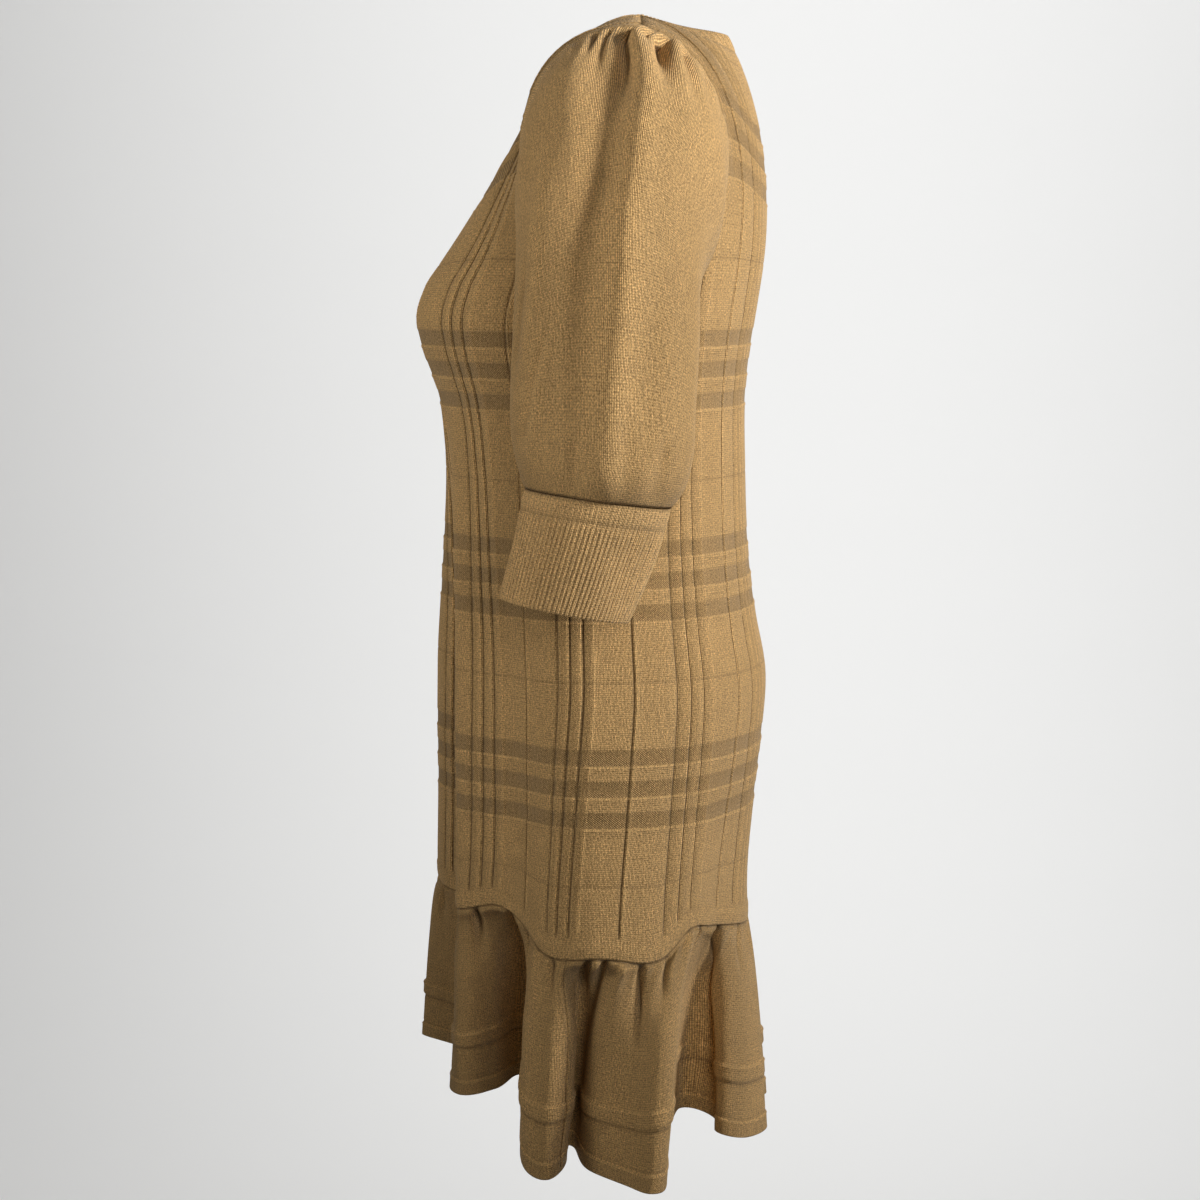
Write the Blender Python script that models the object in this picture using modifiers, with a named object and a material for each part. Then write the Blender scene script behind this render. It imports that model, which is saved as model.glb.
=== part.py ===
"""Knitted sweater dress in its worn, hollow form: panels, gathered sleeves, rib cuffs and a gathered flounce.

Metres, Z up. The front faces -Y and the wearer's left side is +X. The origin lies between the inner ends of
the two shoulder seams, where a wearer's shoulders carry the dress. Every piece is one knitted wall.
"""

import math
from functools import lru_cache
from types import SimpleNamespace

import bmesh
import bpy
import numpy as np

# Cloth
WALL = 0.0016
SEAM_GAP = 0.0003
ANGLED_SEAM_GAP = 0.0010  # between middles of walls that meet at an angle, so that their near faces keep SEAM_GAP
UNDERARM_SEAM_GAP = 0.0030  # the same at the underarm, where the sleeve leaves the body at a right angle

# Body, from the underarm down to the flounce seam
UNDERARM_Z = -0.205
SIDE_SHARE_UNDERARM = 0.245  # share of the whole girth from the centre front to the side seam
SIDE_SHARE_HEM = 0.220
RING_POINTS = 361
NORMAL_STEP = 0.004  # half the share of the girth over which the body's outward direction is taken

# Neckline and shoulders
NECK_HALF_WIDTH = 0.090
NECK_FRONT = (-0.093, -0.092)  # y and z of the neckline at the centre front
NECK_BACK = (0.077, -0.025)
NECK_ROUNDNESS = 0.9  # powers of the neckline's curve, in plan and in its drop at the front and back
NECK_DROP_FRONT = 1.3
NECK_DROP_BACK = 1.0
NECK_SHARE = 0.5  # share of a half panel's columns that end on the neckline; the rest end on the shoulder
SHOULDER_POINT = (0.160, -0.012)  # x and z
BAND_HEIGHT = 0.0145
BAND_LEAN_SIDE = 6.0  # degrees above level, at the sides of the neck and at its front and back
BAND_LEAN_CENTRE = 66.0

# Rows and columns of the facets. A panel's columns are shares of its half width, with narrow ones at the seams,
# and its yoke rows meet the sleeve's columns round the armhole, and its neckline columns the band's.
PANEL_COLUMNS = (0.0, 0.1, 0.2, 0.3, 0.4, 0.5, 0.6, 0.7, 0.8, 0.9, 0.97, 1.0)
BODY_ROWS = 12
YOKE_ROWS = 10
SLEEVE_COLUMNS = 2 * YOKE_ROWS
SLEEVE_HEAD = 0.06  # share of the sleeve's length in which its rings ease into the armhole
SLEEVE_ROWS = (0.0, 0.04, 0.11, 0.20, 0.30, 0.41, 0.53, 0.65, 0.76, 0.86, 0.93, 0.97, 1.0)
CUFF_ROWS = (0.0, 0.33, 0.67, 1.0)
BAND_COLUMNS = 20
BAND_ROWS = (0.0, 0.5, 1.0)
FLOUNCE_EDGE_COLUMN = 0.998  # short of the panel's edge, which leaves the angled gap at the side seams
FLOUNCE_STRAIGHT = 0.035  # share of the flounce's depth that hangs straight from its seam
FLOUNCE_PUFF = 0.55  # power of its opening: the lower, the sooner the gathers stand out below the seam
FLOUNCE_ROWS = (0.0, FLOUNCE_STRAIGHT, 0.12, 0.27, 0.45, 0.63, 0.82, 1.0)

KNIT_CAMEL = (0.50, 0.31, 0.14)
RIB_CAMEL = (0.47, 0.29, 0.13)


def table(columns, rows, period=None):
    """A table with named columns, read at any value of its first column along a smooth curve."""
    names = columns.split()
    values = np.array(rows, dtype=float)
    if period:
        step = np.zeros(len(names))
        step[0] = period
        values = np.vstack((values[-2:] - step, values, values[:2] + step))
    keys = values[:, 0]
    slopes = np.gradient(values, keys, axis=0)

    def read(key):
        if period:
            key = (key - rows[0][0]) % period + rows[0][0]
        key = min(max(key, keys[0]), keys[-1])
        at = min(int(np.searchsorted(keys, key, side="right")) - 1, len(keys) - 2)
        span = keys[at + 1] - keys[at]
        t = (key - keys[at]) / span
        rise = t * t * (3 - 2 * t)
        leave = t * (1 - t) ** 2 * span
        arrive = t * t * (t - 1) * span
        point = values[at] * (1 - rise) + values[at + 1] * rise + slopes[at] * leave + slopes[at + 1] * arrive
        return SimpleNamespace(**dict(zip(names, point)))

    return read


# Level sections of the body. "side" is the y of the widest point.
BODY = table(
    "z front back side half_width front_squareness back_squareness",
    [
        (-0.740, -0.155, 0.090, -0.034, 0.193, 1.75, 2.2),
        (-0.683, -0.155, 0.088, -0.034, 0.193, 1.78, 2.2),
        (-0.620, -0.154, 0.093, -0.034, 0.192, 1.80, 2.2),
        (-0.567, -0.154, 0.099, -0.034, 0.190, 1.85, 2.2),
        (-0.515, -0.153, 0.102, -0.034, 0.186, 1.90, 2.2),
        (-0.470, -0.152, 0.094, -0.034, 0.180, 1.95, 2.2),
        (-0.420, -0.153, 0.088, -0.034, 0.173, 2.00, 2.2),
        (-0.350, -0.155, 0.085, -0.033, 0.168, 2.10, 2.2),
        (-0.292, -0.160, 0.085, -0.032, 0.171, 2.20, 2.2),
        (-0.255, -0.168, 0.089, -0.031, 0.174, 2.30, 2.2),
        (-0.230, -0.170, 0.093, -0.030, 0.175, 2.35, 2.2),
        (-0.205, -0.163, 0.097, -0.030, 0.172, 2.35, 2.2),
    ],
)

# The seam between body and flounce, by share of the girth from the centre front
SEAM = table(
    "share z",
    [
        (0.000, -0.700),
        (0.050, -0.700),
        (0.100, -0.695),
        (0.140, -0.688),
        (0.165, -0.699),
        (0.195, -0.715),
        (0.250, -0.716),
        (0.298, -0.718),
        (0.325, -0.699),
        (0.360, -0.702),
        (0.400, -0.708),
        (0.450, -0.715),
        (0.500, -0.719),
        (0.560, -0.713),
        (0.610, -0.704),
        (0.670, -0.701),
        (0.705, -0.717),
        (0.750, -0.717),
        (0.800, -0.714),
        (0.835, -0.698),
        (0.870, -0.690),
        (0.930, -0.694),
    ],
    period=1.0,
)

# The cloth's soft standing folds below the bust. "share" goes round the girth from the centre front, "out" is
# how far the fold stands out, and it grows from "top" to its full depth at "full".
DRAPES = [
    dict(share=-0.070, half_breadth=0.050, out=0.020, top=-0.28, full=-0.52),
    dict(share=0.030, half_breadth=0.032, out=-0.018, top=-0.28, full=-0.50),
    dict(share=0.096, half_breadth=0.026, out=0.004, top=-0.28, full=-0.45),
    dict(share=0.160, half_breadth=0.035, out=-0.013, top=-0.30, full=-0.66),
    dict(share=-0.165, half_breadth=0.035, out=-0.010, top=-0.30, full=-0.66),
    dict(share=0.375, half_breadth=0.030, out=-0.006, top=-0.52, full=-0.70),
    dict(share=-0.390, half_breadth=0.034, out=-0.007, top=-0.50, full=-0.70),
]
BUST = dict(x=0.082, half_breadth=0.050, out=0.011, z=-0.228, half_height=0.060)

# From the underarm to the neckline and shoulder, a half panel's columns are cubic curves. "column" is 0 at the
# centre and 1 at the armhole; x1 y1 z1 leave the underarm level, and x2 y2 z2 hang from the upper end.
FRONT_YOKE = table(
    "column x1 y1 z1 x2 y2 z2",
    [
        (0.00, 0.000, 0.030, 0.036, 0.000, -0.006, -0.034),
        (0.25, -0.004, 0.037, 0.050, 0.002, -0.022, -0.032),
        (0.50, -0.010, 0.046, 0.068, 0.004, -0.062, 0.002),
        (0.75, -0.012, 0.022, 0.072, 0.000, -0.098, -0.001),
        (0.90, -0.010, -0.020, 0.048, -0.003, -0.122, 0.000),
        (1.00, -0.010, -0.055, 0.000, -0.006, -0.135, 0.000),
    ],
)
BACK_YOKE = table(
    "column x1 y1 z1 x2 y2 z2",
    [
        (0.00, 0.000, 0.010, 0.060, 0.000, 0.022, -0.055),
        (0.25, -0.003, 0.010, 0.066, 0.002, 0.036, -0.048),
        (0.50, -0.008, 0.014, 0.080, 0.003, 0.074, -0.030),
        (0.75, -0.010, 0.030, 0.080, 0.000, 0.088, -0.026),
        (0.90, -0.010, 0.078, 0.050, -0.003, 0.096, -0.028),
        (1.00, -0.010, 0.118, 0.000, -0.006, 0.100, -0.030),
    ],
)

# Rings of the left sleeve. "crown" runs over the shoulder and down the outside, "under" down the inside.
SLEEVE = table(
    "share crown_x crown_z under_x under_z mid_y half_depth lean",
    [
        (0.00, 0.1600, -0.0120, 0.1720, -0.2050, -0.0110, 0.0765, 0.0),
        (0.06, 0.1860, -0.0160, 0.1820, -0.2070, -0.0120, 0.0765, 0.0),
        (0.14, 0.2130, -0.0280, 0.1870, -0.2160, -0.0140, 0.0765, 0.0),
        (0.24, 0.2420, -0.0530, 0.1885, -0.2300, -0.0165, 0.0765, 0.0),
        (0.36, 0.2680, -0.0930, 0.1890, -0.2460, -0.0215, 0.0705, 0.0),
        (0.50, 0.2840, -0.1450, 0.1890, -0.2640, -0.0252, 0.0675, 0.0),
        (0.64, 0.2880, -0.2050, 0.1900, -0.2860, -0.0265, 0.0680, 1.0),
        (0.78, 0.2870, -0.2700, 0.1910, -0.3120, -0.0288, 0.0678, 3.0),
        (0.88, 0.2860, -0.3180, 0.1910, -0.3350, -0.0290, 0.0662, 5.0),
        (0.95, 0.2840, -0.3450, 0.1920, -0.3500, -0.0300, 0.0610, 7.0),
        (1.00, 0.2770, -0.3610, 0.1970, -0.3610, -0.0325, 0.0545, 8.0),
    ],
)
SLEEVE_SQUARENESS = 2.1
CROWN_TROUGH = dict(turn=0.10, half_breadth=0.30, depth=0.011, share=0.16, half_share=0.14)

# Rings of the left cuff, from its seam to its open edge
CUFF = table(
    "share x y z half_width half_depth lean",
    [
        (0.0, 0.2370, -0.0326, -0.3614, 0.0400, 0.0545, 8.0),
        (0.3, 0.2370, -0.0395, -0.3860, 0.0392, 0.0530, 9.5),
        (0.7, 0.2370, -0.0500, -0.4200, 0.0390, 0.0505, 10.5),
        (1.0, 0.2370, -0.0575, -0.4440, 0.0392, 0.0485, 11.0),
    ],
)

# The flounce's lower edge: its crests and valleys, by share of the girth from the centre front
HEM = table(
    "share x y z",
    [
        (0.015, -0.030, -0.132, -0.846),
        (0.050, 0.010, -0.152, -0.857),
        (0.085, 0.038, -0.144, -0.859),
        (0.120, 0.044, -0.116, -0.853),
        (0.150, 0.046, -0.094, -0.847),
        (0.178, 0.112, -0.092, -0.876),
        (0.198, 0.160, -0.083, -0.892),
        (0.212, 0.168, -0.073, -0.894),
        (0.238, 0.112, -0.058, -0.883),
        (0.262, 0.146, -0.036, -0.890),
        (0.288, 0.188, -0.011, -0.893),
        (0.318, 0.202, 0.013, -0.894),
        (0.338, 0.170, 0.021, -0.886),
        (0.365, 0.088, 0.033, -0.862),
        (0.398, 0.116, 0.058, -0.870),
        (0.430, 0.104, 0.084, -0.878),
        (0.458, 0.062, 0.102, -0.880),
        (0.500, 0.000, 0.072, -0.868),
        (0.530, -0.040, 0.104, -0.880),
        (0.555, -0.078, 0.104, -0.882),
        (0.585, -0.088, 0.064, -0.866),
        (0.615, -0.136, 0.082, -0.884),
        (0.638, -0.160, 0.066, -0.886),
        (0.665, -0.124, 0.028, -0.866),
        (0.695, -0.190, 0.022, -0.892),
        (0.720, -0.202, 0.000, -0.894),
        (0.750, -0.124, -0.024, -0.876),
        (0.780, -0.178, -0.058, -0.890),
        (0.802, -0.178, -0.082, -0.890),
        (0.835, -0.098, -0.088, -0.856),
        (0.862, -0.128, -0.132, -0.862),
        (0.885, -0.128, -0.154, -0.862),
        (0.912, -0.090, -0.128, -0.848),
        (0.935, -0.104, -0.170, -0.842),
        (0.960, -0.082, -0.180, -0.838),
    ],
    period=1.0,
)


def eased(value):
    """0 below 0, 1 above 1, and a smooth rise between."""
    value = min(max(value, 0.0), 1.0)
    return value * value * (3 - 2 * value)


def signed_power(value, power):
    return np.sign(value) * np.abs(value) ** power


@lru_cache(maxsize=None)
def level_ring(z):
    """A level ring round the body: the share of its girth from the centre front, x and y, at each point."""
    section = BODY(z)
    turn = np.linspace(-math.pi, math.pi, RING_POINTS)
    sine, cosine = np.sin(turn), np.cos(turn)
    front = cosine > 0
    power = 2 / np.where(front, section.front_squareness, section.back_squareness)
    reach = np.where(front, section.front, section.back) - section.side
    x = section.half_width * signed_power(sine, power)
    y = section.side + reach * np.abs(cosine) ** power
    height = math.exp(-(((z - BUST["z"]) / BUST["half_height"]) ** 2))
    for side in (-1, 1):
        mound = np.exp(-(((x - side * BUST["x"]) / BUST["half_breadth"]) ** 2))
        y = y - BUST["out"] * height * mound * front
    length = np.concatenate(([0.0], np.cumsum(np.hypot(np.diff(x), np.diff(y)))))
    share = (length - np.interp(0.0, turn, length)) / length[-1]
    return share, x, y


def body_point(share, z):
    """The point on the body at a height, at a share of the girth from the centre front (wearer's left +)."""
    z = round(z, 5)
    shares, xs, ys = level_ring(z)
    share = (share + 0.5) % 1.0 - 0.5
    places = (share - NORMAL_STEP, share, share + NORMAL_STEP)
    x = np.interp(places, shares, xs, period=1.0)
    y = np.interp(places, shares, ys, period=1.0)
    outward = np.array((y[2] - y[0], x[0] - x[2]))
    outward /= np.hypot(*outward)
    out = 0.0
    for fold in DRAPES:
        away = (share - fold["share"] + 0.5) % 1.0 - 0.5
        depth = eased((z - fold["top"]) / (fold["full"] - fold["top"]))
        out += fold["out"] * depth * math.exp(-((away / fold["half_breadth"]) ** 2))
    return np.array((x[1] + outward[0] * out, y[1] + outward[1] * out, z))


def neckline(turn):
    """A point of the neckline; turn is 0 at the centre front, a quarter turn at the wearer's left."""
    forward = math.cos(turn)
    y, z = NECK_FRONT if forward > 0 else NECK_BACK
    drop = NECK_DROP_FRONT if forward > 0 else NECK_DROP_BACK
    forward = abs(forward)
    return np.array((NECK_HALF_WIDTH * math.sin(turn), y * forward**NECK_ROUNDNESS, z * forward**drop))


def upper_end(is_front, column):
    """Where a column of a half panel ends: on the neckline, or on the shoulder seam beyond it."""
    if column <= NECK_SHARE:
        quarter = 0.5 * math.pi * column / NECK_SHARE
        return neckline(quarter if is_front else math.pi - quarter)
    along = (column - NECK_SHARE) / (1 - NECK_SHARE)
    x = NECK_HALF_WIDTH + (SHOULDER_POINT[0] - NECK_HALF_WIDTH) * along
    return np.array((x, 0.0, SHOULDER_POINT[1] * along))


def panel_share(is_front, column, level):
    """The share of the girth at a panel's column (-1 to 1), where level is 0 at the flounce, 1 at the underarm."""
    side = SIDE_SHARE_HEM + (SIDE_SHARE_UNDERARM - SIDE_SHARE_HEM) * level
    if is_front:
        return column * (side - 0.5 * SEAM_GAP)
    return math.copysign(0.5 - abs(column) * (0.5 - side - 0.5 * SEAM_GAP), column)


def panel_point(is_front, column, level):
    """A point of the front or back panel: level 0 at the flounce seam, 1 at the underarm, 2 at the upper end."""
    share = panel_share(is_front, column, min(level, 1.0))
    if level <= 1.0:
        low = SEAM(share).z + 0.5 * SEAM_GAP
        return body_point(share, low + (UNDERARM_Z - low) * level)
    yoke = (FRONT_YOKE if is_front else BACK_YOKE)(abs(column))
    side = np.array((-1.0 if column < 0 else 1.0, 1.0, 1.0))
    start = body_point(share, UNDERARM_Z)
    end = upper_end(is_front, abs(column)) * side
    if abs(column) >= NECK_SHARE:
        end[1] += -0.5 * ANGLED_SEAM_GAP if is_front else 0.5 * ANGLED_SEAM_GAP
    first = start + np.array((yoke.x1, yoke.y1, yoke.z1)) * side
    second = end + np.array((yoke.x2, yoke.y2, yoke.z2)) * side
    t = level - 1.0
    u = 1.0 - t
    return start * u**3 + first * 3 * u * u * t + second * 3 * u * t * t + end * t**3


def armhole(turn):
    """A point of the left armhole; turn is 0 at the shoulder, a quarter turn at the front, half at the underarm."""
    is_front = turn % (2 * math.pi) < math.pi
    round_it = turn % (2 * math.pi) if is_front else 2 * math.pi - turn % (2 * math.pi)
    return panel_point(is_front, 1.0, 2.0 - round_it / math.pi)


def sleeve_point(turn, share):
    """A point of the left sleeve, from the armhole at share 0 to the cuff seam at share 1."""
    ring = SLEEVE(share)
    crown = np.array((ring.crown_x, ring.mid_y, ring.crown_z))
    under = np.array((ring.under_x, ring.mid_y, ring.under_z))
    lean = math.radians(ring.lean)
    forward = np.array((0.0, -math.cos(lean), math.sin(lean))) * ring.half_depth
    across = signed_power(math.cos(turn), 2 / SLEEVE_SQUARENESS)
    along = signed_power(math.sin(turn), 2 / SLEEVE_SQUARENESS)
    point = (crown + under) / 2 + (crown - under) / 2 * across + forward * along
    away = (turn - CROWN_TROUGH["turn"] + math.pi) % (2 * math.pi) - math.pi
    along = share - CROWN_TROUGH["share"]
    sunk = (away / CROWN_TROUGH["half_breadth"]) ** 2 + (along / CROWN_TROUGH["half_share"]) ** 2
    point += (under - crown) / np.linalg.norm(under - crown) * CROWN_TROUGH["depth"] * math.exp(-sunk)
    if share < SLEEVE_HEAD:
        down = 0.5 * (1 - math.cos(turn))
        gap = ANGLED_SEAM_GAP + (UNDERARM_SEAM_GAP - ANGLED_SEAM_GAP) * down**2
        start = armhole(turn) + np.array((gap, 0.0, 0.0))
        point = start + (point - start) * share / SLEEVE_HEAD
    return point


def cuff_point(turn, share):
    ring = CUFF(share)
    lean = math.radians(ring.lean)
    across = signed_power(math.cos(turn), 2 / SLEEVE_SQUARENESS) * ring.half_width
    along = signed_power(math.sin(turn), 2 / SLEEVE_SQUARENESS) * ring.half_depth
    return np.array((ring.x + across, ring.y - along * math.cos(lean), ring.z + along * math.sin(lean)))


def band_point(turn, share):
    """A point of the neck band, which stands up and leans in from the neckline by its height."""
    inward = -np.array((math.sin(turn), -math.cos(turn)))
    lean = math.radians(BAND_LEAN_SIDE + (BAND_LEAN_CENTRE - BAND_LEAN_SIDE) * math.cos(turn) ** 2)
    away = ANGLED_SEAM_GAP + BAND_HEIGHT * share
    rise = np.array((inward[0] * math.cos(lean), inward[1] * math.cos(lean), math.sin(lean)))
    return neckline(turn) + rise * away


def flounce_point(is_front, column, down):
    """A point of the flounce, which hangs straight from the panel's lower edge and then opens to the hem's folds."""
    after = next(edge for edge in PANEL_COLUMNS if edge >= abs(column) and edge > 0)
    before = PANEL_COLUMNS[PANEL_COLUMNS.index(after) - 1]
    side = math.copysign(1.0, column)
    along = (abs(column) - before) / (after - before)
    top = panel_point(is_front, side * before, 0.0) * (1 - along) + panel_point(is_front, side * after, 0.0) * along
    hem = HEM(panel_share(is_front, column, 0.0))
    opening = (max(down - FLOUNCE_STRAIGHT, 0.0) / (1 - FLOUNCE_STRAIGHT)) ** FLOUNCE_PUFF
    height = top[2] - SEAM_GAP + (hem.z - top[2]) * down
    return np.array((top[0] + (hem.x - top[0]) * opening, top[1] + (hem.y - top[1]) * opening, height))


def material(name, colour, roughness):
    made = bpy.data.materials.new(name)
    made.use_nodes = True
    shader = made.node_tree.nodes["Principled BSDF"]
    shader.inputs["Base Color"].default_value = (*colour, 1.0)
    shader.inputs["Roughness"].default_value = roughness
    shader.inputs["Metallic"].default_value = 0.0
    return made


def cloth(name, rows, closed, surface, inside_out=False):
    """A knitted piece: a surface lofted through rows of points, thickened evenly to both sides."""
    mesh = bpy.data.meshes.new(name)
    shape = bmesh.new()
    grid = [[shape.verts.new(point) for point in row] for row in rows]
    width = len(rows[0])
    for below, above in zip(grid, grid[1:]):
        for i in range(width if closed else width - 1):
            j = (i + 1) % width
            corners = (below[i], below[j], above[j], above[i])
            shape.faces.new(corners[::-1] if inside_out else corners)
    shape.to_mesh(mesh)
    shape.free()
    mesh.materials.append(surface)
    mesh.shade_smooth()
    piece = bpy.data.objects.new(name, mesh)
    thicken = piece.modifiers.new("Wall", "SOLIDIFY")
    thicken.thickness = WALL
    thicken.offset = 0.0
    thicken.use_even_offset = False
    return piece


def both_sides(half_columns, is_front):
    """A half panel's columns, mirrored and run so that the piece faces out."""
    columns = [-column for column in half_columns[:0:-1]] + list(half_columns)
    return columns if is_front else columns[::-1]


def panel(name, is_front, surface):
    columns = both_sides(PANEL_COLUMNS, is_front)
    levels = [i / BODY_ROWS for i in range(BODY_ROWS)] + [1 + i / YOKE_ROWS for i in range(YOKE_ROWS + 1)]
    rows = [[panel_point(is_front, column, level) for column in columns] for level in levels]
    return cloth(name, rows, False, surface)


def even_turns(count):
    return [2 * math.pi * i / count for i in range(count)]


def left_and_right(name, shares, point, surface):
    """A tube on the left arm and its mirror image on the right arm."""
    turns = even_turns(SLEEVE_COLUMNS)
    pieces = []
    for side, sign in (("left", 1.0), ("right", -1.0)):
        mirror = np.array((sign, 1.0, 1.0))
        rows = [[point(turn, share) * mirror for turn in turns] for share in shares]
        pieces.append(cloth(f"{name}_{side}", rows, True, surface, inside_out=sign > 0))
    return pieces


def flounce_half(name, is_front, surface):
    """Half the flounce, with two columns for each of the panel's but the narrow ones at the side seams."""
    inner = PANEL_COLUMNS[:-1]
    middles = [(low + high) / 2 for low, high in zip(inner[:-1], inner[1:-1])]
    columns = both_sides(sorted([*inner, *middles, FLOUNCE_EDGE_COLUMN]), is_front)
    rows = [[flounce_point(is_front, column, down) for column in columns] for down in FLOUNCE_ROWS[::-1]]
    return cloth(name, rows, False, surface)


for leftover in list(bpy.data.objects):
    bpy.data.objects.remove(leftover, do_unlink=True)

knit = material("fine knit", KNIT_CAMEL, 0.85)
rib = material("rib knit", RIB_CAMEL, 0.88)

band_rows = [[band_point(turn, share) for turn in even_turns(BAND_COLUMNS)] for share in BAND_ROWS]

dress = bpy.data.collections.new("Sweater dress")
bpy.context.scene.collection.children.link(dress)
pieces = [
    panel("front_body", True, knit),
    panel("back_body", False, knit),
    cloth("neck_band", band_rows, True, rib),
    *left_and_right("sleeve", SLEEVE_ROWS, sleeve_point, knit),
    *left_and_right("cuff", CUFF_ROWS, cuff_point, rib),
    flounce_half("flounce_front", True, knit),
    flounce_half("flounce_back", False, knit),
]
for piece in pieces:
    dress.objects.link(piece)
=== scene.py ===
"""Knitted sweater dress in its worn, hollow form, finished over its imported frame."""

import math
from types import SimpleNamespace

import bpy
import numpy as np
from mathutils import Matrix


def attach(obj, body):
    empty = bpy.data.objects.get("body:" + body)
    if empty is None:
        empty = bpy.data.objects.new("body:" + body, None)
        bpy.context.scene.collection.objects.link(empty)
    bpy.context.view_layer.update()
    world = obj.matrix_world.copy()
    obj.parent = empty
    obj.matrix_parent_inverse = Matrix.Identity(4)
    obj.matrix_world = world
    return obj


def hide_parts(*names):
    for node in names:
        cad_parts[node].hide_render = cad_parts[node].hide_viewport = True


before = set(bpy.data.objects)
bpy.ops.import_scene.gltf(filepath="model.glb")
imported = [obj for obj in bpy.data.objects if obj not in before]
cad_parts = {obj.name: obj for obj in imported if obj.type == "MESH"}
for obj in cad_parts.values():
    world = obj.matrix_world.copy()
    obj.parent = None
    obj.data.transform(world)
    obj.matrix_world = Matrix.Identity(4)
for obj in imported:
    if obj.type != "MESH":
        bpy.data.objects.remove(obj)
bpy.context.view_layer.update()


# ---- Body: front and back panel --------------------------------------------------------------------------
# Two panels of fine-gauge camel knit, each knitted to shape with a check in its own colour: upright triple
# strips and single cords, crossed by triple bands of reverse stitches. They are linked at the shoulders and
# down the sides, and hang in soft standing folds from the bust.

UNDERARM_Z = -0.205
BODY_LENGTH = 0.512  # from the underarm down to the flounce seam
SEAM_FALL = 0.080  # height over which the courses above the flounce seam follow its dips and lifts
YOKE_LENGTH = 0.190  # of a wale, from the underarm up to the neckline or shoulder
SIDE_SHARE_UNDERARM = 0.245  # share of the whole girth from the centre front to the side seam
SIDE_SHARE_HEM = 0.220
NORMAL_STEP = 0.004
NECK_HALF_WIDTH = 0.090
NECK_FRONT = (-0.093, -0.092)  # y and z of the neckline at the centre front
NECK_BACK = (0.077, -0.025)
NECK_ROUNDNESS = 0.9
NECK_DROP_FRONT = 1.3
NECK_DROP_BACK = 1.0
NECK_SHARE = 0.5  # share of a half panel's wales that end on the neckline; the rest end on the shoulder
SHOULDER_POINT = (0.160, -0.012)
CLOTH_OUTSIDE = 0.0006  # from the middle of the cloth to its outer and to its inner face
CLOTH_INSIDE = 0.0010


def curve(columns, rows, period=None):
    """A table with named columns, read at any values of its first column along smooth curves."""
    names = columns.split()
    values = np.array(rows, dtype=float)
    first = values[0, 0]
    if period:
        step = np.zeros(len(names))
        step[0] = period
        values = np.vstack((values[-2:] - step, values, values[:2] + step))
    keys = values[:, 0]
    slopes = np.gradient(values, keys, axis=0)

    def read(key):
        key = np.asarray(key, dtype=float)
        if period:
            key = (key - first) % period + first
        key = np.clip(key, keys[0], keys[-1])
        at = np.clip(np.searchsorted(keys, key, side="right") - 1, 0, len(keys) - 2)
        span = (keys[at + 1] - keys[at])[..., None]
        t = (key - keys[at])[..., None] / span
        rise = t * t * (3 - 2 * t)
        leave = t * (1 - t) ** 2 * span
        arrive = t * t * (t - 1) * span
        point = values[at] * (1 - rise) + values[at + 1] * rise + slopes[at] * leave + slopes[at + 1] * arrive
        return SimpleNamespace(**{name: point[..., i] for i, name in enumerate(names)})

    return read


def table(columns, rows):
    """Rows with named columns."""
    return [SimpleNamespace(**dict(zip(columns.split(), row))) for row in rows]


# Level sections of the body. "side" is the y of the widest point.
BODY = curve(
    "z front back side half_width front_squareness back_squareness",
    [
        (-0.740, -0.155, 0.090, -0.034, 0.193, 1.75, 2.2),
        (-0.683, -0.155, 0.088, -0.034, 0.193, 1.78, 2.2),
        (-0.620, -0.154, 0.093, -0.034, 0.192, 1.80, 2.2),
        (-0.567, -0.154, 0.099, -0.034, 0.190, 1.85, 2.2),
        (-0.515, -0.153, 0.102, -0.034, 0.186, 1.90, 2.2),
        (-0.470, -0.152, 0.094, -0.034, 0.180, 1.95, 2.2),
        (-0.420, -0.153, 0.088, -0.034, 0.173, 2.00, 2.2),
        (-0.350, -0.155, 0.085, -0.033, 0.168, 2.10, 2.2),
        (-0.292, -0.160, 0.085, -0.032, 0.171, 2.20, 2.2),
        (-0.255, -0.168, 0.089, -0.031, 0.174, 2.30, 2.2),
        (-0.230, -0.170, 0.093, -0.030, 0.175, 2.35, 2.2),
        (-0.205, -0.163, 0.097, -0.030, 0.172, 2.35, 2.2),
    ],
)

# The seam between body and flounce, by share of the girth from the centre front
SEAM = curve(
    "share z",
    [
        (0.000, -0.700),
        (0.050, -0.700),
        (0.100, -0.695),
        (0.140, -0.688),
        (0.165, -0.699),
        (0.195, -0.715),
        (0.250, -0.716),
        (0.298, -0.718),
        (0.325, -0.699),
        (0.360, -0.702),
        (0.400, -0.708),
        (0.450, -0.715),
        (0.500, -0.719),
        (0.560, -0.713),
        (0.610, -0.704),
        (0.670, -0.701),
        (0.705, -0.717),
        (0.750, -0.717),
        (0.800, -0.714),
        (0.835, -0.698),
        (0.870, -0.690),
        (0.930, -0.694),
    ],
    period=1.0,
)

# Soft standing folds. "out" is how far one stands out, or sinks where it is negative. It grows from nothing
# at height "top" to all of it at "full".
FOLDS = table(
    "share half_breadth out top full",
    [
        (-0.070, 0.050, 0.020, -0.28, -0.52),
        (0.030, 0.030, -0.030, -0.27, -0.48),
        (0.092, 0.022, 0.008, -0.26, -0.45),
        (0.160, 0.035, -0.013, -0.30, -0.66),
        (-0.165, 0.035, -0.010, -0.30, -0.66),
        (0.375, 0.030, -0.006, -0.52, -0.70),
        (-0.390, 0.034, -0.007, -0.50, -0.70),
    ],
)
BUST = SimpleNamespace(x=0.082, half_breadth=0.050, out=0.011, z=-0.228, half_height=0.060)

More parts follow.
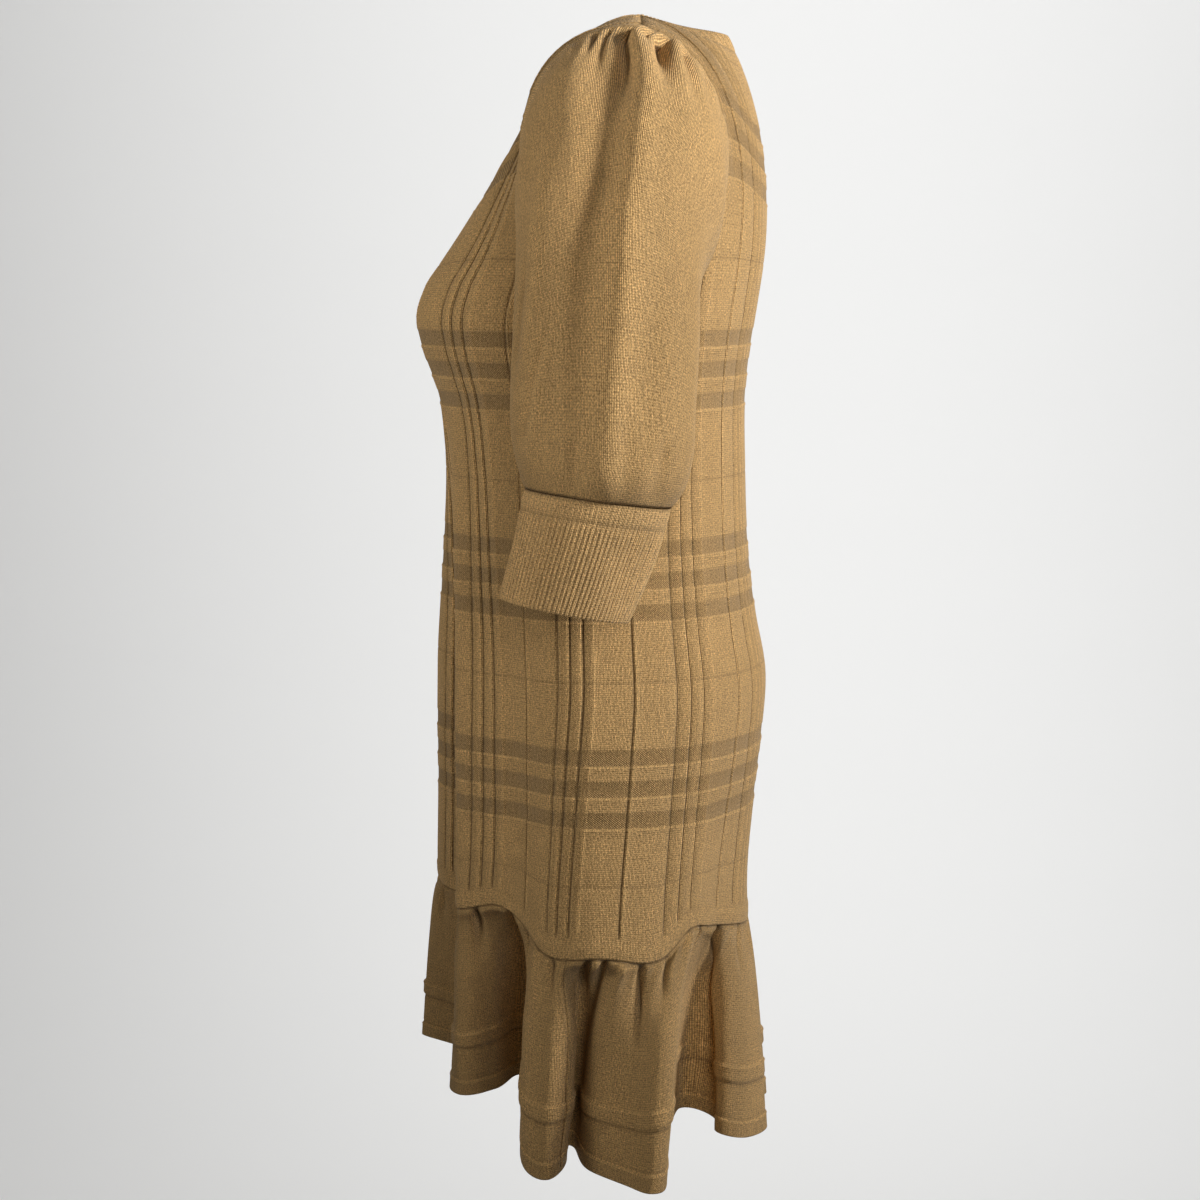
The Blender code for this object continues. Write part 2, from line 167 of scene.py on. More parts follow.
# From the underarm to the neckline and shoulder, a half panel's wales are cubic curves. "column" is 0 at
# the centre and 1 at the armhole; x1 y1 z1 leave the underarm level, and x2 y2 z2 hang from the upper end.
FRONT_YOKE = curve(
    "column x1 y1 z1 x2 y2 z2",
    [
        (0.00, 0.000, 0.030, 0.036, 0.000, -0.006, -0.034),
        (0.25, -0.004, 0.037, 0.050, 0.002, -0.022, -0.032),
        (0.50, -0.010, 0.046, 0.068, 0.004, -0.062, 0.002),
        (0.75, -0.012, 0.022, 0.072, 0.000, -0.098, -0.001),
        (0.90, -0.010, -0.020, 0.048, -0.003, -0.122, 0.000),
        (1.00, -0.010, -0.055, 0.000, -0.006, -0.135, 0.000),
    ],
)
BACK_YOKE = curve(
    "column x1 y1 z1 x2 y2 z2",
    [
        (0.00, 0.000, 0.010, 0.060, 0.000, 0.022, -0.055),
        (0.25, -0.003, 0.010, 0.066, 0.002, 0.036, -0.048),
        (0.50, -0.008, 0.014, 0.080, 0.003, 0.074, -0.030),
        (0.75, -0.010, 0.030, 0.080, 0.000, 0.088, -0.026),
        (0.90, -0.010, 0.078, 0.050, -0.003, 0.096, -0.028),
        (1.00, -0.010, 0.118, 0.000, -0.006, 0.100, -0.030),
    ],
)

# The check. Strips and cords run up the wales, at shares of the girth from the centre front. A group is three
# strips: where the first starts, and how far apart they are. Bands and lines lie at heights on the panel.
STRIP_GROUPS = [
    (-0.436, 0.0125),
    (-0.3375, 0.0125),
    (-0.233, 0.0105),
    (-0.142, 0.0113),
    (-0.0165, 0.0113),
    (0.107, 0.0113),
    (0.201, 0.0103),
    (0.2985, 0.0136),
    (0.403, 0.0125),
]
CORDS = (-0.375, -0.265, -0.171, -0.063, 0.060, 0.168, 0.2615, 0.373, 0.4995)
BAND_TOPS = (-0.083, -0.241, -0.400, -0.5565)
BAND_PITCH = 0.0238
BAND_HEIGHT = 0.0128
LINES = (-0.032, -0.117, -0.190, -0.355, -0.506, -0.661)
PLAIN_EDGE = 0.015  # plain rolled strip above the flounce seam, where the check stops


def eased(value):
    value = np.clip(value, 0.0, 1.0)
    return value * value * (3 - 2 * value)


def bell(away, half_breadth):
    return np.exp(-((away / half_breadth) ** 2))


def round_girth(share):
    """A share of the girth brought between -0.5 and 0.5."""
    return (share + 0.5) % 1.0 - 0.5


def ring_point(z, turn):
    """x and y of the body's level section at a height and a turn round it."""
    section = BODY(z)
    front = np.cos(turn) > 0
    power = 2 / np.where(front, section.front_squareness, section.back_squareness)
    reach = np.where(front, section.front, section.back) - section.side
    x = section.half_width * np.sign(np.sin(turn)) * np.abs(np.sin(turn)) ** power
    y = section.side + reach * np.abs(np.cos(turn)) ** power
    mounds = bell(x - BUST.x, BUST.half_breadth) + bell(x + BUST.x, BUST.half_breadth)
    return x, y - BUST.out * bell(z - BUST.z, BUST.half_height) * mounds * front


ring_heights = np.linspace(-0.750, -0.200, 221)
ring_shares = np.linspace(-0.5, 0.5, 721)
ring_turns = 2 * math.pi * ring_shares
ring_x, ring_y = ring_point(ring_heights[:, None], ring_turns[None])
ring_length = np.cumsum(np.hypot(np.diff(ring_x), np.diff(ring_y)), axis=1)
ring_length = np.hstack((np.zeros((len(ring_heights), 1)), ring_length))
ring_length = (ring_length - ring_length[:, 360:361]) / ring_length[:, -1:]
turn_table = np.array([np.interp(ring_shares, lengths, ring_turns) for lengths in ring_length])


def turn_at(share, z):
    """The turn round the body at a share of the girth from the centre front (wearer's left +)."""
    column = ((share + 0.5) % 1.0) * (len(ring_shares) - 1)
    row = (z - ring_heights[0]) / (ring_heights[1] - ring_heights[0])
    j = np.clip(column.astype(int), 0, len(ring_shares) - 2)
    i = np.clip(row.astype(int), 0, len(ring_heights) - 2)
    across, up = column - j, row - i
    low = turn_table[i, j] * (1 - across) + turn_table[i, j + 1] * across
    high = turn_table[i + 1, j] * (1 - across) + turn_table[i + 1, j + 1] * across
    return low * (1 - up) + high * up


def body_point(share, z):
    """Points on the body at heights, at shares of the girth."""
    x, y = ring_point(z, turn_at(share, z))
    x0, y0 = ring_point(z, turn_at(share - NORMAL_STEP, z))
    x1, y1 = ring_point(z, turn_at(share + NORMAL_STEP, z))
    length = np.hypot(x1 - x0, y1 - y0)
    out = 0.0
    for fold in FOLDS:
        depth = eased((z - fold.top) / (fold.full - fold.top))
        out = out + fold.out * depth * bell(round_girth(share - fold.share), fold.half_breadth)
    return np.stack((x + (y1 - y0) / length * out, y - (x1 - x0) / length * out, z), axis=-1)


def neckline(turn):
    """Points of the neckline; turn is 0 at the centre front, a quarter turn at the wearer's left."""
    forward = np.cos(turn)
    front = forward > 0
    y = np.where(front, NECK_FRONT[0], NECK_BACK[0]) * np.abs(forward) ** NECK_ROUNDNESS
    drop = np.where(front, NECK_DROP_FRONT, NECK_DROP_BACK)
    z = np.where(front, NECK_FRONT[1], NECK_BACK[1]) * np.abs(forward) ** drop
    return np.stack((NECK_HALF_WIDTH * np.sin(turn), y, z), axis=-1)


def panel_point(is_front, column, course):
    """Points of the front or back panel. column is -1 to 1 across it; course is metres above the underarm."""
    column, course = np.broadcast_arrays(np.asarray(column, float), np.asarray(course, float))
    side_sign = np.where(column < 0, -1.0, 1.0)
    across = np.abs(column)
    below = np.minimum(course, 0.0)
    side = SIDE_SHARE_UNDERARM + (SIDE_SHARE_HEM - SIDE_SHARE_UNDERARM) * -below / BODY_LENGTH
    share = column * side if is_front else side_sign * (0.5 - across * (0.5 - side))
    flat_z = UNDERARM_Z + below
    seam_z = UNDERARM_Z - BODY_LENGTH
    z = flat_z + (SEAM(share).z - seam_z) * eased((seam_z + SEAM_FALL - flat_z) / SEAM_FALL)
    start = body_point(share, z)
    yoke = (FRONT_YOKE if is_front else BACK_YOKE)(across)
    along = np.clip((across - NECK_SHARE) / (1 - NECK_SHARE), 0.0, 1.0)
    quarter = 0.5 * math.pi * np.minimum(across / NECK_SHARE, 1.0)
    reach, drop = SHOULDER_POINT
    shoulder = (NECK_HALF_WIDTH + (reach - NECK_HALF_WIDTH) * along, 0 * along, drop * along)
    on_neck = (across <= NECK_SHARE)[..., None]
    end = np.where(on_neck, neckline(quarter if is_front else math.pi - quarter), np.stack(shoulder, axis=-1))
    mirror = np.stack((side_sign, np.ones_like(side_sign), np.ones_like(side_sign)), axis=-1)
    first = start + np.stack((yoke.x1, yoke.y1, yoke.z1), axis=-1) * mirror
    second = end * mirror + np.stack((yoke.x2, yoke.y2, yoke.z2), axis=-1) * mirror
    t = (np.maximum(course, 0.0) / YOKE_LENGTH)[..., None]
    u = 1 - t
    return start * u**3 + first * 3 * u * u * t + second * 3 * u * t * t + end * mirror * t**3


def outward(points, closed, centre):
    """Unit normals of a grid of points, facing away from its middle."""
    if closed:
        across = np.roll(points, -1, axis=1) - np.roll(points, 1, axis=1)
    else:
        across = np.gradient(points, axis=1)
    normal = np.cross(across, np.gradient(points, axis=0))
    normal /= np.maximum(np.linalg.norm(normal, axis=-1, keepdims=True), 1e-12)
    facing = np.sum(normal * (points - centre), axis=-1).sum()
    return normal if facing > 0 else -normal


INNER_ROWS, INNER_COLUMNS = 2, 3  # the inner face keeps every second row and every third column


def every(count, step):
    """Every so many of a count, always with the last."""
    return sorted({*range(0, count, step), count - 1})


def cloth(name, middle, normal, relief, across, along, closed, finish, masks):
    """A knitted piece with real thickness: a fine outer face with the relief, and a plainer inner face."""
    rows, columns = middle.shape[:2]
    outer = middle + normal * (CLOTH_OUTSIDE + relief)[..., None]
    picked_rows, picked_columns = every(rows, INNER_ROWS), every(columns, INNER_COLUMNS)
    if closed:
        picked_columns = list(range(0, columns, INNER_COLUMNS))
    picked = np.ix_(picked_rows, picked_columns)
    inner = (middle - normal * CLOTH_INSIDE)[picked]
    m, n = inner.shape[:2]
    o = np.arange(rows * columns).reshape(rows, columns)
    p = np.arange(m * n).reshape(m, n) + rows * columns
    if closed:
        o, p = np.hstack((o, o[:, :1])), np.hstack((p, p[:, :1]))
        picked_columns = [*picked_columns, columns]
    faces = np.stack((o[:-1, :-1], o[:-1, 1:], o[1:, 1:], o[1:, :-1]), axis=-1).reshape(-1, 4).tolist()
    faces += np.stack((p[:-1, :-1], p[1:, :-1], p[1:, 1:], p[:-1, 1:]), axis=-1).reshape(-1, 4).tolist()
    # Round the open edges, one strip of faces joins the fine outer edge to the coarser inner one
    for k, (a, b) in enumerate(zip(picked_columns, picked_columns[1:])):
        faces.append([*o[0, a : b + 1][::-1].tolist(), int(p[0, k]), int(p[0, k + 1])])
        faces.append([*o[-1, a : b + 1].tolist(), int(p[-1, k + 1]), int(p[-1, k])])
    if not closed:
        for k, (a, b) in enumerate(zip(picked_rows, picked_rows[1:])):
            faces.append([*o[a : b + 1, 0].tolist(), int(p[k + 1, 0]), int(p[k, 0])])
            faces.append([*o[a : b + 1, -1][::-1].tolist(), int(p[k, -1]), int(p[k + 1, -1])])
    points = np.vstack((outer.reshape(-1, 3), inner.reshape(-1, 3)))
    box_volume = sum(
        np.dot(points[face[0]], np.cross(points[face[1]], points[face[2]]))
        + np.dot(points[face[0]], np.cross(points[face[2]], points[face[3]]))
        for face in faces
        if len(face) == 4
    )
    if box_volume < 0:
        faces = [face[::-1] for face in faces]
    mesh = bpy.data.meshes.new(f"{name}_cloth")
    mesh.from_pydata(points.tolist(), [], faces)
    mesh.shade_smooth()
    # Stitch coordinates in metres of flat cloth, and at each point its reversed stitches, painted shade and
    # painted highlight
    corners = np.zeros(len(mesh.loops), dtype=np.int32)
    mesh.loops.foreach_get("vertex_index", corners)
    u, v = (np.concatenate((flat.ravel(), flat[picked].ravel()))[corners] for flat in (across, along))
    if closed:
        width = float(across.max() - across.min()) * columns / (columns - 1)
        starts = np.zeros(len(mesh.polygons), dtype=np.int32)
        totals = np.zeros(len(mesh.polygons), dtype=np.int32)
        mesh.polygons.foreach_get("loop_start", starts)
        mesh.polygons.foreach_get("loop_total", totals)
        highest = np.repeat(np.maximum.reduceat(u, starts), totals)
        u = np.where(highest - u > 0.5 * width, u + width, u)
    layer = mesh.uv_layers.new(name="Stitches")
    layer.data.foreach_set("uv", np.stack((u, v), axis=-1).astype(np.float32).reshape(-1))
    for mask, values in masks.items():
        inside = np.full(m * n, 1.0 if mask == "reverse" else 0.0)
        attribute = mesh.attributes.new(mask, "FLOAT", "POINT")
        attribute.data.foreach_set("value", np.concatenate((values.reshape(-1), inside)).astype(np.float32))
    mesh.materials.append(finish)
    piece = bpy.data.objects.new(f"{name}_cloth", mesh)
    bpy.context.scene.collection.objects.link(piece)
    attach(piece, "root")
    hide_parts(name)
    return piece


def maths(tree, operation, *values):
    """One sum, product or wave of the stitch pattern, of values or numbers."""
    node = tree.nodes.new("ShaderNodeMath")
    node.operation = operation
    for socket, value in zip(node.inputs, values):
        if isinstance(value, (int, float)):
            socket.default_value = value
        else:
            tree.links.new(value, socket)
    return node.outputs[0]


def blend_of(tree, amount, low, high):
    """low where amount is 0, high where it is 1"""
    node = tree.nodes.new("ShaderNodeMix")
    node.data_type = "FLOAT"
    tree.links.new(amount, node.inputs[0])
    for socket, value in ((node.inputs[2], low), (node.inputs[3], high)):
        if isinstance(value, (int, float)):
            socket.default_value = value
        else:
            tree.links.new(value, socket)
    return node.outputs[0]


def mottle(tree, place, across, along, detail):
    """Uneven yarn: noise in stitch coordinates, from 0 to 1"""
    stretch = tree.nodes.new("ShaderNodeMapping")
    stretch.inputs["Scale"].default_value = (1 / across, 1 / along, 1.0)
    tree.links.new(place, stretch.inputs["Vector"])
    noise = tree.nodes.new("ShaderNodeTexNoise")
    noise.noise_dimensions = "2D"
    noise.inputs["Scale"].default_value = 1.0
    noise.inputs["Detail"].default_value = detail
    tree.links.new(stretch.outputs[0], noise.inputs["Vector"])
    return noise.outputs[0]


WALE = 0.0021  # width of a stitch, and height of a row of stitches
COURSE = 0.0016
SHADE_DEPTH = (0.010, 0.005, 0.001, 1.0)  # the darkest colour, where the painted shade between the yarns and along dips and seams is deepest
YARN_GAIN = 1.15  # the yarn itself, against the cloth's even colour


def knitted(name, colour):
    """Camel yarn, knitted: V stitches on the face, and purl bumps where the stitches are reversed, with
    painted shade between the yarns. The pieces' painted shade and painted highlight darken and lighten it.
    """
    made = bpy.data.materials.new(name)
    made.use_nodes = True
    tree = made.node_tree
    shader = tree.nodes["Principled BSDF"]
    place = tree.nodes.new("ShaderNodeUVMap")
    place.uv_map = "Stitches"
    flat = place.outputs[0]
    split = tree.nodes.new("ShaderNodeSeparateXYZ")
    tree.links.new(flat, split.inputs[0])

    def mask(kind):
        node = tree.nodes.new("ShaderNodeAttribute")
        node.attribute_name = kind
        return node.outputs["Fac"]

    def times(value, factor):
        return maths(tree, "MULTIPLY", value, factor)

    def plus(value, more):
        return maths(tree, "ADD", value, more)

    def line(value, slope, base):
        return maths(tree, "MULTIPLY_ADD", value, slope, base)

    def cosine(value, turns):
        return maths(tree, "COSINE", times(value, turns * 2 * math.pi))

    wander = times(mottle(tree, flat, 0.010, 0.030, 1.0), 0.0012)
    wales = maths(tree, "DIVIDE", plus(split.outputs[0], wander), WALE)
    courses = maths(tree, "DIVIDE", split.outputs[1], COURSE)
    leg = maths(tree, "ABSOLUTE", maths(tree, "SUBTRACT", maths(tree, "FRACT", wales), 0.5))
    face = times(line(cosine(leg, 2), -0.5, 0.5), line(cosine(plus(courses, leg), 1), 0.3, 0.7))
    half = times(maths(tree, "FLOOR", times(wales, 2.0)), 0.5)
    purl = line(cosine(plus(courses, half), 1), 0.5, 0.5)
    height = blend_of(tree, mask("reverse"), face, purl)
    fibres = mottle(tree, flat, 0.0011, 0.0015, 1.0)
    streaks = mottle(tree, flat, 0.0016, 0.0120, 2.0)
    clouds = mottle(tree, flat, 0.045, 0.090, 2.0)
    # Painted shade between the yarns: the colour darkens where the stitch pattern is low. The three noises
    # after it are the yarn's own uneven tone.
    shade = line(height, 1.05, 0.58)
    for value, slope, base in ((fibres, 1.75, 0.12), (streaks, 0.60, 0.70), (clouds, 0.16, 0.92)):
        shade = times(shade, line(value, slope, base))
    # Reversed stitches are a little darker. Painted shade darkens the colour in the check's dips, lines and
    # band tops, along seams, in the rib dips and under the flounce's tuck. A painted highlight lightens it on
    # raised edges, the armhole's seam allowance, the rib cords and the top edges of the tuck and welt.
    for kind, slope in (("reverse", -0.46), ("painted_shade", -0.66), ("painted_highlight", 0.17)):
        shade = times(shade, line(mask(kind), slope, 1.0))
    tint = tree.nodes.new("ShaderNodeMix")
    tint.data_type = "RGBA"
    tint.clamp_factor = False
    tint.inputs[6].default_value = SHADE_DEPTH
    tint.inputs[7].default_value = (*[YARN_GAIN * channel for channel in colour], 1.0)
    tree.links.new(shade, tint.inputs[0])
    tree.links.new(tint.outputs[2], shader.inputs["Base Color"])
    tree.links.new(line(streaks, 0.12, 0.80), shader.inputs["Roughness"])
    shader.inputs["Specular IOR Level"].default_value = 0.12
    shader.inputs["Sheen Weight"].default_value = 0.16
    shader.inputs["Sheen Roughness"].default_value = 0.45
    shader.inputs["Sheen Tint"].default_value = (1.0, 0.91, 0.76, 1.0)
    relief = tree.nodes.new("ShaderNodeBump")
    relief.inputs["Strength"].default_value = 1.0
    relief.inputs["Distance"].default_value = 0.0008
    tree.links.new(line(fibres, 0.6, height), relief.inputs["Height"])
    tree.links.new(relief.outputs[0], shader.inputs["Normal"])
    return made


knit = knitted("camel fine knit", (0.50, 0.309, 0.124))


def spaced(low, high, step, marks):
    """Values from low to high at even steps, with close ones at the marks."""
    close = np.array(sorted(mark for mark in marks if low < mark < high))
    even = np.linspace(low, high, max(int(round((high - low) / step)), 1) + 1)
    near = np.abs(even[:, None] - close[None]).min(axis=1) if len(close) else np.ones_like(even)
    kept = even[(near > 0.45 * step) | (even == low) | (even == high)]
    merged = np.unique(np.concatenate((kept, close)))
    gaps = np.concatenate(([True], np.diff(merged) > 1e-5))
    return merged[gaps]


# Across the check, a strip is a dip with painted shade, raised reverse stitches and an edge with a painted
# highlight, and a cord is such a dip and edge side by side. All of these are shares of the girth.
STRIP_EDGE_BEFORE = 0.0022  # from a strip's bright edge to the next dip
STRIP_BODY = (0.0014, 0.0034)  # from the dip before it, and to the one after
CORD_EDGE_AFTER = 0.0022
strip_dips = [start + k * pitch for start, pitch in STRIP_GROUPS for k in range(3)]
strip_ends = [start + (k + 1) * pitch for start, pitch in STRIP_GROUPS for k in range(3)]
strip_edges = [end - STRIP_EDGE_BEFORE for end in strip_ends]
cord_edges = [cord + CORD_EDGE_AFTER for cord in CORDS]

# The marks of the check: how wide each is (a share of the girth, or metres up the cloth), how far it stands
# out, and how strong its painted shade is where it sinks or lies level, or its painted highlight where it
# stands out
STRIP_DIP = SimpleNamespace(wide=0.0010, out=-0.0011, mask=1.0)
STRIP_EDGE = SimpleNamespace(wide=0.0011, out=0.0006, mask=1.0)
CORD_DIP = SimpleNamespace(wide=0.0009, out=-0.0009, mask=0.85)
CORD_EDGE = SimpleNamespace(wide=0.0012, out=0.0007, mask=1.0)
BAND_LIP = SimpleNamespace(wide=0.0008, out=0.00045, mask=0.5)
BAND_TOP = SimpleNamespace(wide=0.0007, out=0.0, mask=0.35)
LINE = SimpleNamespace(wide=0.0008, out=-0.00035, mask=0.38)
STRIP_RISE = 0.0003
STRIP_REVERSE = 0.55
BAND_SINK = 0.00045
SOFT_SIDE = 0.0012  # over which a strip's side rises, and a band's
SOFT_BAND = 0.0009


def check_relief(share, height):
    """Relief, painted shade, painted highlight and reverse stitches of the check, at shares of the hip girth
    and heights on the flat panel.
    """
    relief, reverse = np.zeros(share.shape), np.zeros(share.shape)
    masks = dict(painted_shade=np.zeros(share.shape), painted_highlight=np.zeros(share.shape))

    def mark(kind, places, at):
        for place in places:
            drawn = bell(at - place, kind.wide)
            relief[...] += kind.out * drawn
            # A painted highlight on a mark that stands out, painted shade on one that sinks or lies level
            worn = masks["painted_highlight" if kind.out > 0 else "painted_shade"]
            np.maximum(worn, kind.mask * drawn, out=worn)

    mark(STRIP_DIP, strip_dips, share)
    mark(STRIP_EDGE, strip_edges, share)
    for dip, end in zip(strip_dips, strip_ends):
        low, high = dip + STRIP_BODY[0], end - STRIP_BODY[1]
        strip = eased((share - low) / SOFT_SIDE) * eased((high - share) / SOFT_SIDE)
        relief += STRIP_RISE * strip
        reverse = np.maximum(reverse, STRIP_REVERSE * strip)
    mark(CORD_DIP, CORDS, share)
    mark(CORD_EDGE, cord_edges, share)
    for top in BAND_TOPS:
        for k in range(3):
            high = top - k * BAND_PITCH
            low = high - BAND_HEIGHT
            band = eased((high - height) / SOFT_BAND) * eased((height - low) / SOFT_BAND)
            open_cloth = 1 - np.maximum(masks["painted_shade"], np.minimum(2 * reverse, 1)) * 0.6
            relief -= BAND_SINK * band * open_cloth
            reverse = np.maximum(reverse, band * (0.7 + 0.3 * open_cloth))
            mark(BAND_LIP, [low - 0.0006], height)
            mark(BAND_TOP, [high + 0.0003], height)
    mark(LINE, LINES, height)
    fade = eased((height - (UNDERARM_Z - BODY_LENGTH) - PLAIN_EDGE) / 0.004)
    return relief * fade, masks["painted_shade"] * fade, masks["painted_highlight"] * fade, reverse * fade


def edge_pinch(distance, reach=0.0045, depth=0.0012):
    """Cloth drawn in beside a seam"""
    return -depth * np.exp(-distance / reach)


ROUND_A_DIP = (-0.0022, -0.0011, -0.0003, 0.0005, 0.0014)  # where the mesh has a line of points
ROUND_AN_EDGE = (-0.0008, 0.0001, 0.0011, 0.0022)
ROUND_A_BAND = (-0.0018, -0.0008, 0.0002, 0.0012)


def panel(name, is_front):
    half = SIDE_SHARE_HEM if is_front else 0.5 - SIDE_SHARE_HEM
    marks = [dip + away for dip in (*strip_dips, *CORDS) for away in ROUND_A_DIP]
    marks += [edge + away for edge in (*strip_edges, *cord_edges) for away in ROUND_AN_EDGE]
    for inset in 0.0025 * np.arange(1, 9):
        by_side = half - inset if is_front else 0.5 - half + inset
        marks += [by_side, -by_side]
    if is_front:
        shares = spaced(-half, half, 0.0052, marks)
        columns = shares / half
    else:
        # A back wale's column is +1 on the wearer's left side seam and runs to -1 on the right one
        both = [*marks, *(mark + 1 for mark in marks)]
        shares = spaced(SIDE_SHARE_HEM, 1 - SIDE_SHARE_HEM, 0.0058, both)
        columns = (0.5 - shares) / half
        shares = np.where(shares > 0.5, shares - 1, shares)
    levels = []
    for high in (top - k * BAND_PITCH for top in BAND_TOPS for k in range(3)):
        for edge in (high, high - BAND_HEIGHT):
            levels += [edge + away for away in ROUND_A_BAND]
    for line in LINES:
        levels += [line - 0.0012, line, line + 0.0012]
    bottom = UNDERARM_Z - BODY_LENGTH
    levels += [bottom + up for up in (0.001, 0.0025, 0.0045, PLAIN_EDGE, PLAIN_EDGE + 0.003)]
    heights = spaced(bottom, UNDERARM_Z + YOKE_LENGTH, 0.0060, levels)
    courses = heights - UNDERARM_Z
    grid_columns, grid_courses = np.meshgrid(columns, courses)
    middle = panel_point(is_front, grid_columns, grid_courses)
    normal = outward(middle, False, middle.mean(axis=(0, 1)) * (1, 0, 1) + (0, -0.03, 0))
    share, height = np.meshgrid(shares, heights)
    relief, painted_shade, painted_highlight, reverse = check_relief(share, height)
    from_side = (1 - np.abs(grid_columns)) * half
    relief = relief + edge_pinch(height - bottom) + edge_pinch(from_side, 0.003, 0.0008)
    relief = relief + edge_pinch(UNDERARM_Z + YOKE_LENGTH - height, 0.004, 0.0006)
    plain = eased((bottom + PLAIN_EDGE - height) / 0.002)
    relief = relief + 0.0007 * plain
    # Painted shade: a dark line along the top of the plain strip above the flounce seam
    painted_shade = np.maximum(painted_shade, 0.30 * bell(height - bottom - PLAIN_EDGE - 0.0012, 0.0012))
    # Along the armhole the seam allowance stands out with a painted highlight, and a line of painted shade
    # runs just beyond it, away from the armhole
    seam = eased((height - UNDERARM_Z - 0.01) / 0.03)
    relief = relief + 0.0013 * seam * bell(from_side - 0.010, 0.0045)
    painted_shade = np.maximum(painted_shade, 0.5 * seam * bell(from_side - 0.018, 0.0020))
    painted_highlight = np.maximum(painted_highlight, 0.5 * seam * bell(from_side - 0.010, 0.0030))
    masks = dict(reverse=reverse, painted_shade=painted_shade, painted_highlight=painted_highlight)
    return cloth(name, middle, normal, relief, share, height, False, knit, masks)


front_body = panel("front_body", True)
back_body = panel("back_body", False)


# ---- Neck band -------------------------------------------------------------------------------------------
# A narrow strip of 1x1 rib in the same yarn, linked round the neckline. It stands up and leans in.

BAND_HEIGHT_UP = 0.0145
BAND_LEAN_SIDE = 6.0  # degrees above level, at the sides of the neck and at its front and back
BAND_LEAN_CENTRE = 66.0
BAND_GAP = 0.0009
BAND_GIRTH = 0.57
BAND_RIBS = 168
POINTS_A_RIB = 6

rib_knit = knitted("camel rib knit", (0.56, 0.350, 0.146))


def ribs(phase, height):
    """Relief and masks of 1x1 rib: rounded cords with a painted highlight, and painted shade in the dips
    between them, where the stitches are reversed.
    """
    cord = 0.5 - 0.5 * np.cos(2 * math.pi * phase)
    relief = height * (np.sqrt(cord) - 0.75)
    painted_shade = (1 - cord) ** 3
    return relief, dict(reverse=0.1 * (1 - cord), painted_shade=0.42 * painted_shade, painted_highlight=0.8 * cord**3)


def band_point(turn, share):
    """Points of the neck band, which stands up and leans in from the neckline by its height."""
    lean = np.radians(BAND_LEAN_SIDE + (BAND_LEAN_CENTRE - BAND_LEAN_SIDE) * np.cos(turn) ** 2)
    away = (BAND_GAP + BAND_HEIGHT_UP * share)[..., None]
    rise = np.stack((-np.sin(turn) * np.cos(lean), np.cos(turn) * np.cos(lean), np.sin(lean)), axis=-1)
    return neckline(turn) + rise * away


turn, up = np.meshgrid(
    np.linspace(0, 2 * math.pi, BAND_RIBS * POINTS_A_RIB, endpoint=False), np.linspace(0, 1, 11)
)
middle = band_point(turn, up)
relief, masks = ribs(turn * BAND_RIBS / (2 * math.pi), 0.0007)
relief += edge_pinch(up * BAND_HEIGHT_UP, 0.002, 0.0009)
relief += edge_pinch((1 - up) * BAND_HEIGHT_UP, 0.002, 0.0006)
band_normal = outward(middle, True, np.array((0.0, 0.0, -0.4)))
band_across = turn / (2 * math.pi) * BAND_GIRTH
neck_band = cloth(
    "neck_band", middle, band_normal, relief, band_across, up * BAND_HEIGHT_UP, True, rib_knit, masks
)


# ---- Sleeves ---------------------------------------------------------------------------------------------
# Plain knit with a full head, gathered into the armhole so that it stands up in soft pleats at the shoulder,
# and slack below: a long soft crease runs down the outside and the fullness bags over the cuff.

SLEEVE_SQUARENESS = 2.1
SLEEVE_HEAD = 0.06
HEAD_GAP = 0.0009
UNDERARM_GAP = 0.0028
SLEEVE_LENGTH = 0.37
SLEEVE_WIDTH = 0.42  # round the upper arm
TROUGH = SimpleNamespace(turn=0.10, half_breadth=0.30, depth=0.006, share=0.16, half_share=0.14)

# Rings of the left sleeve. "crown" runs over the shoulder and down the outside, "under" down the inside.
SLEEVE = curve(
    "share crown_x crown_z under_x under_z mid_y half_depth lean",
    [
        (0.00, 0.1600, -0.0120, 0.1720, -0.2050, -0.0110, 0.0765, 0.0),
        (0.06, 0.1860, -0.0160, 0.1820, -0.2070, -0.0120, 0.0765, 0.0),
        (0.14, 0.2130, -0.0280, 0.1870, -0.2160, -0.0140, 0.0765, 0.0),
        (0.24, 0.2420, -0.0530, 0.1885, -0.2300, -0.0165, 0.0765, 0.0),
        (0.36, 0.2680, -0.0930, 0.1890, -0.2460, -0.0215, 0.0705, 0.0),
        (0.50, 0.2840, -0.1450, 0.1890, -0.2640, -0.0252, 0.0675, 0.0),
        (0.64, 0.2880, -0.2050, 0.1900, -0.2860, -0.0265, 0.0680, 1.0),
        (0.78, 0.2870, -0.2700, 0.1910, -0.3120, -0.0288, 0.0678, 3.0),
        (0.88, 0.2860, -0.3180, 0.1910, -0.3350, -0.0290, 0.0662, 5.0),
        (0.95, 0.2840, -0.3450, 0.1920, -0.3500, -0.0300, 0.0610, 7.0),
        (1.00, 0.2770, -0.3610, 0.1970, -0.3610, -0.0325, 0.0545, 8.0),
    ],
)
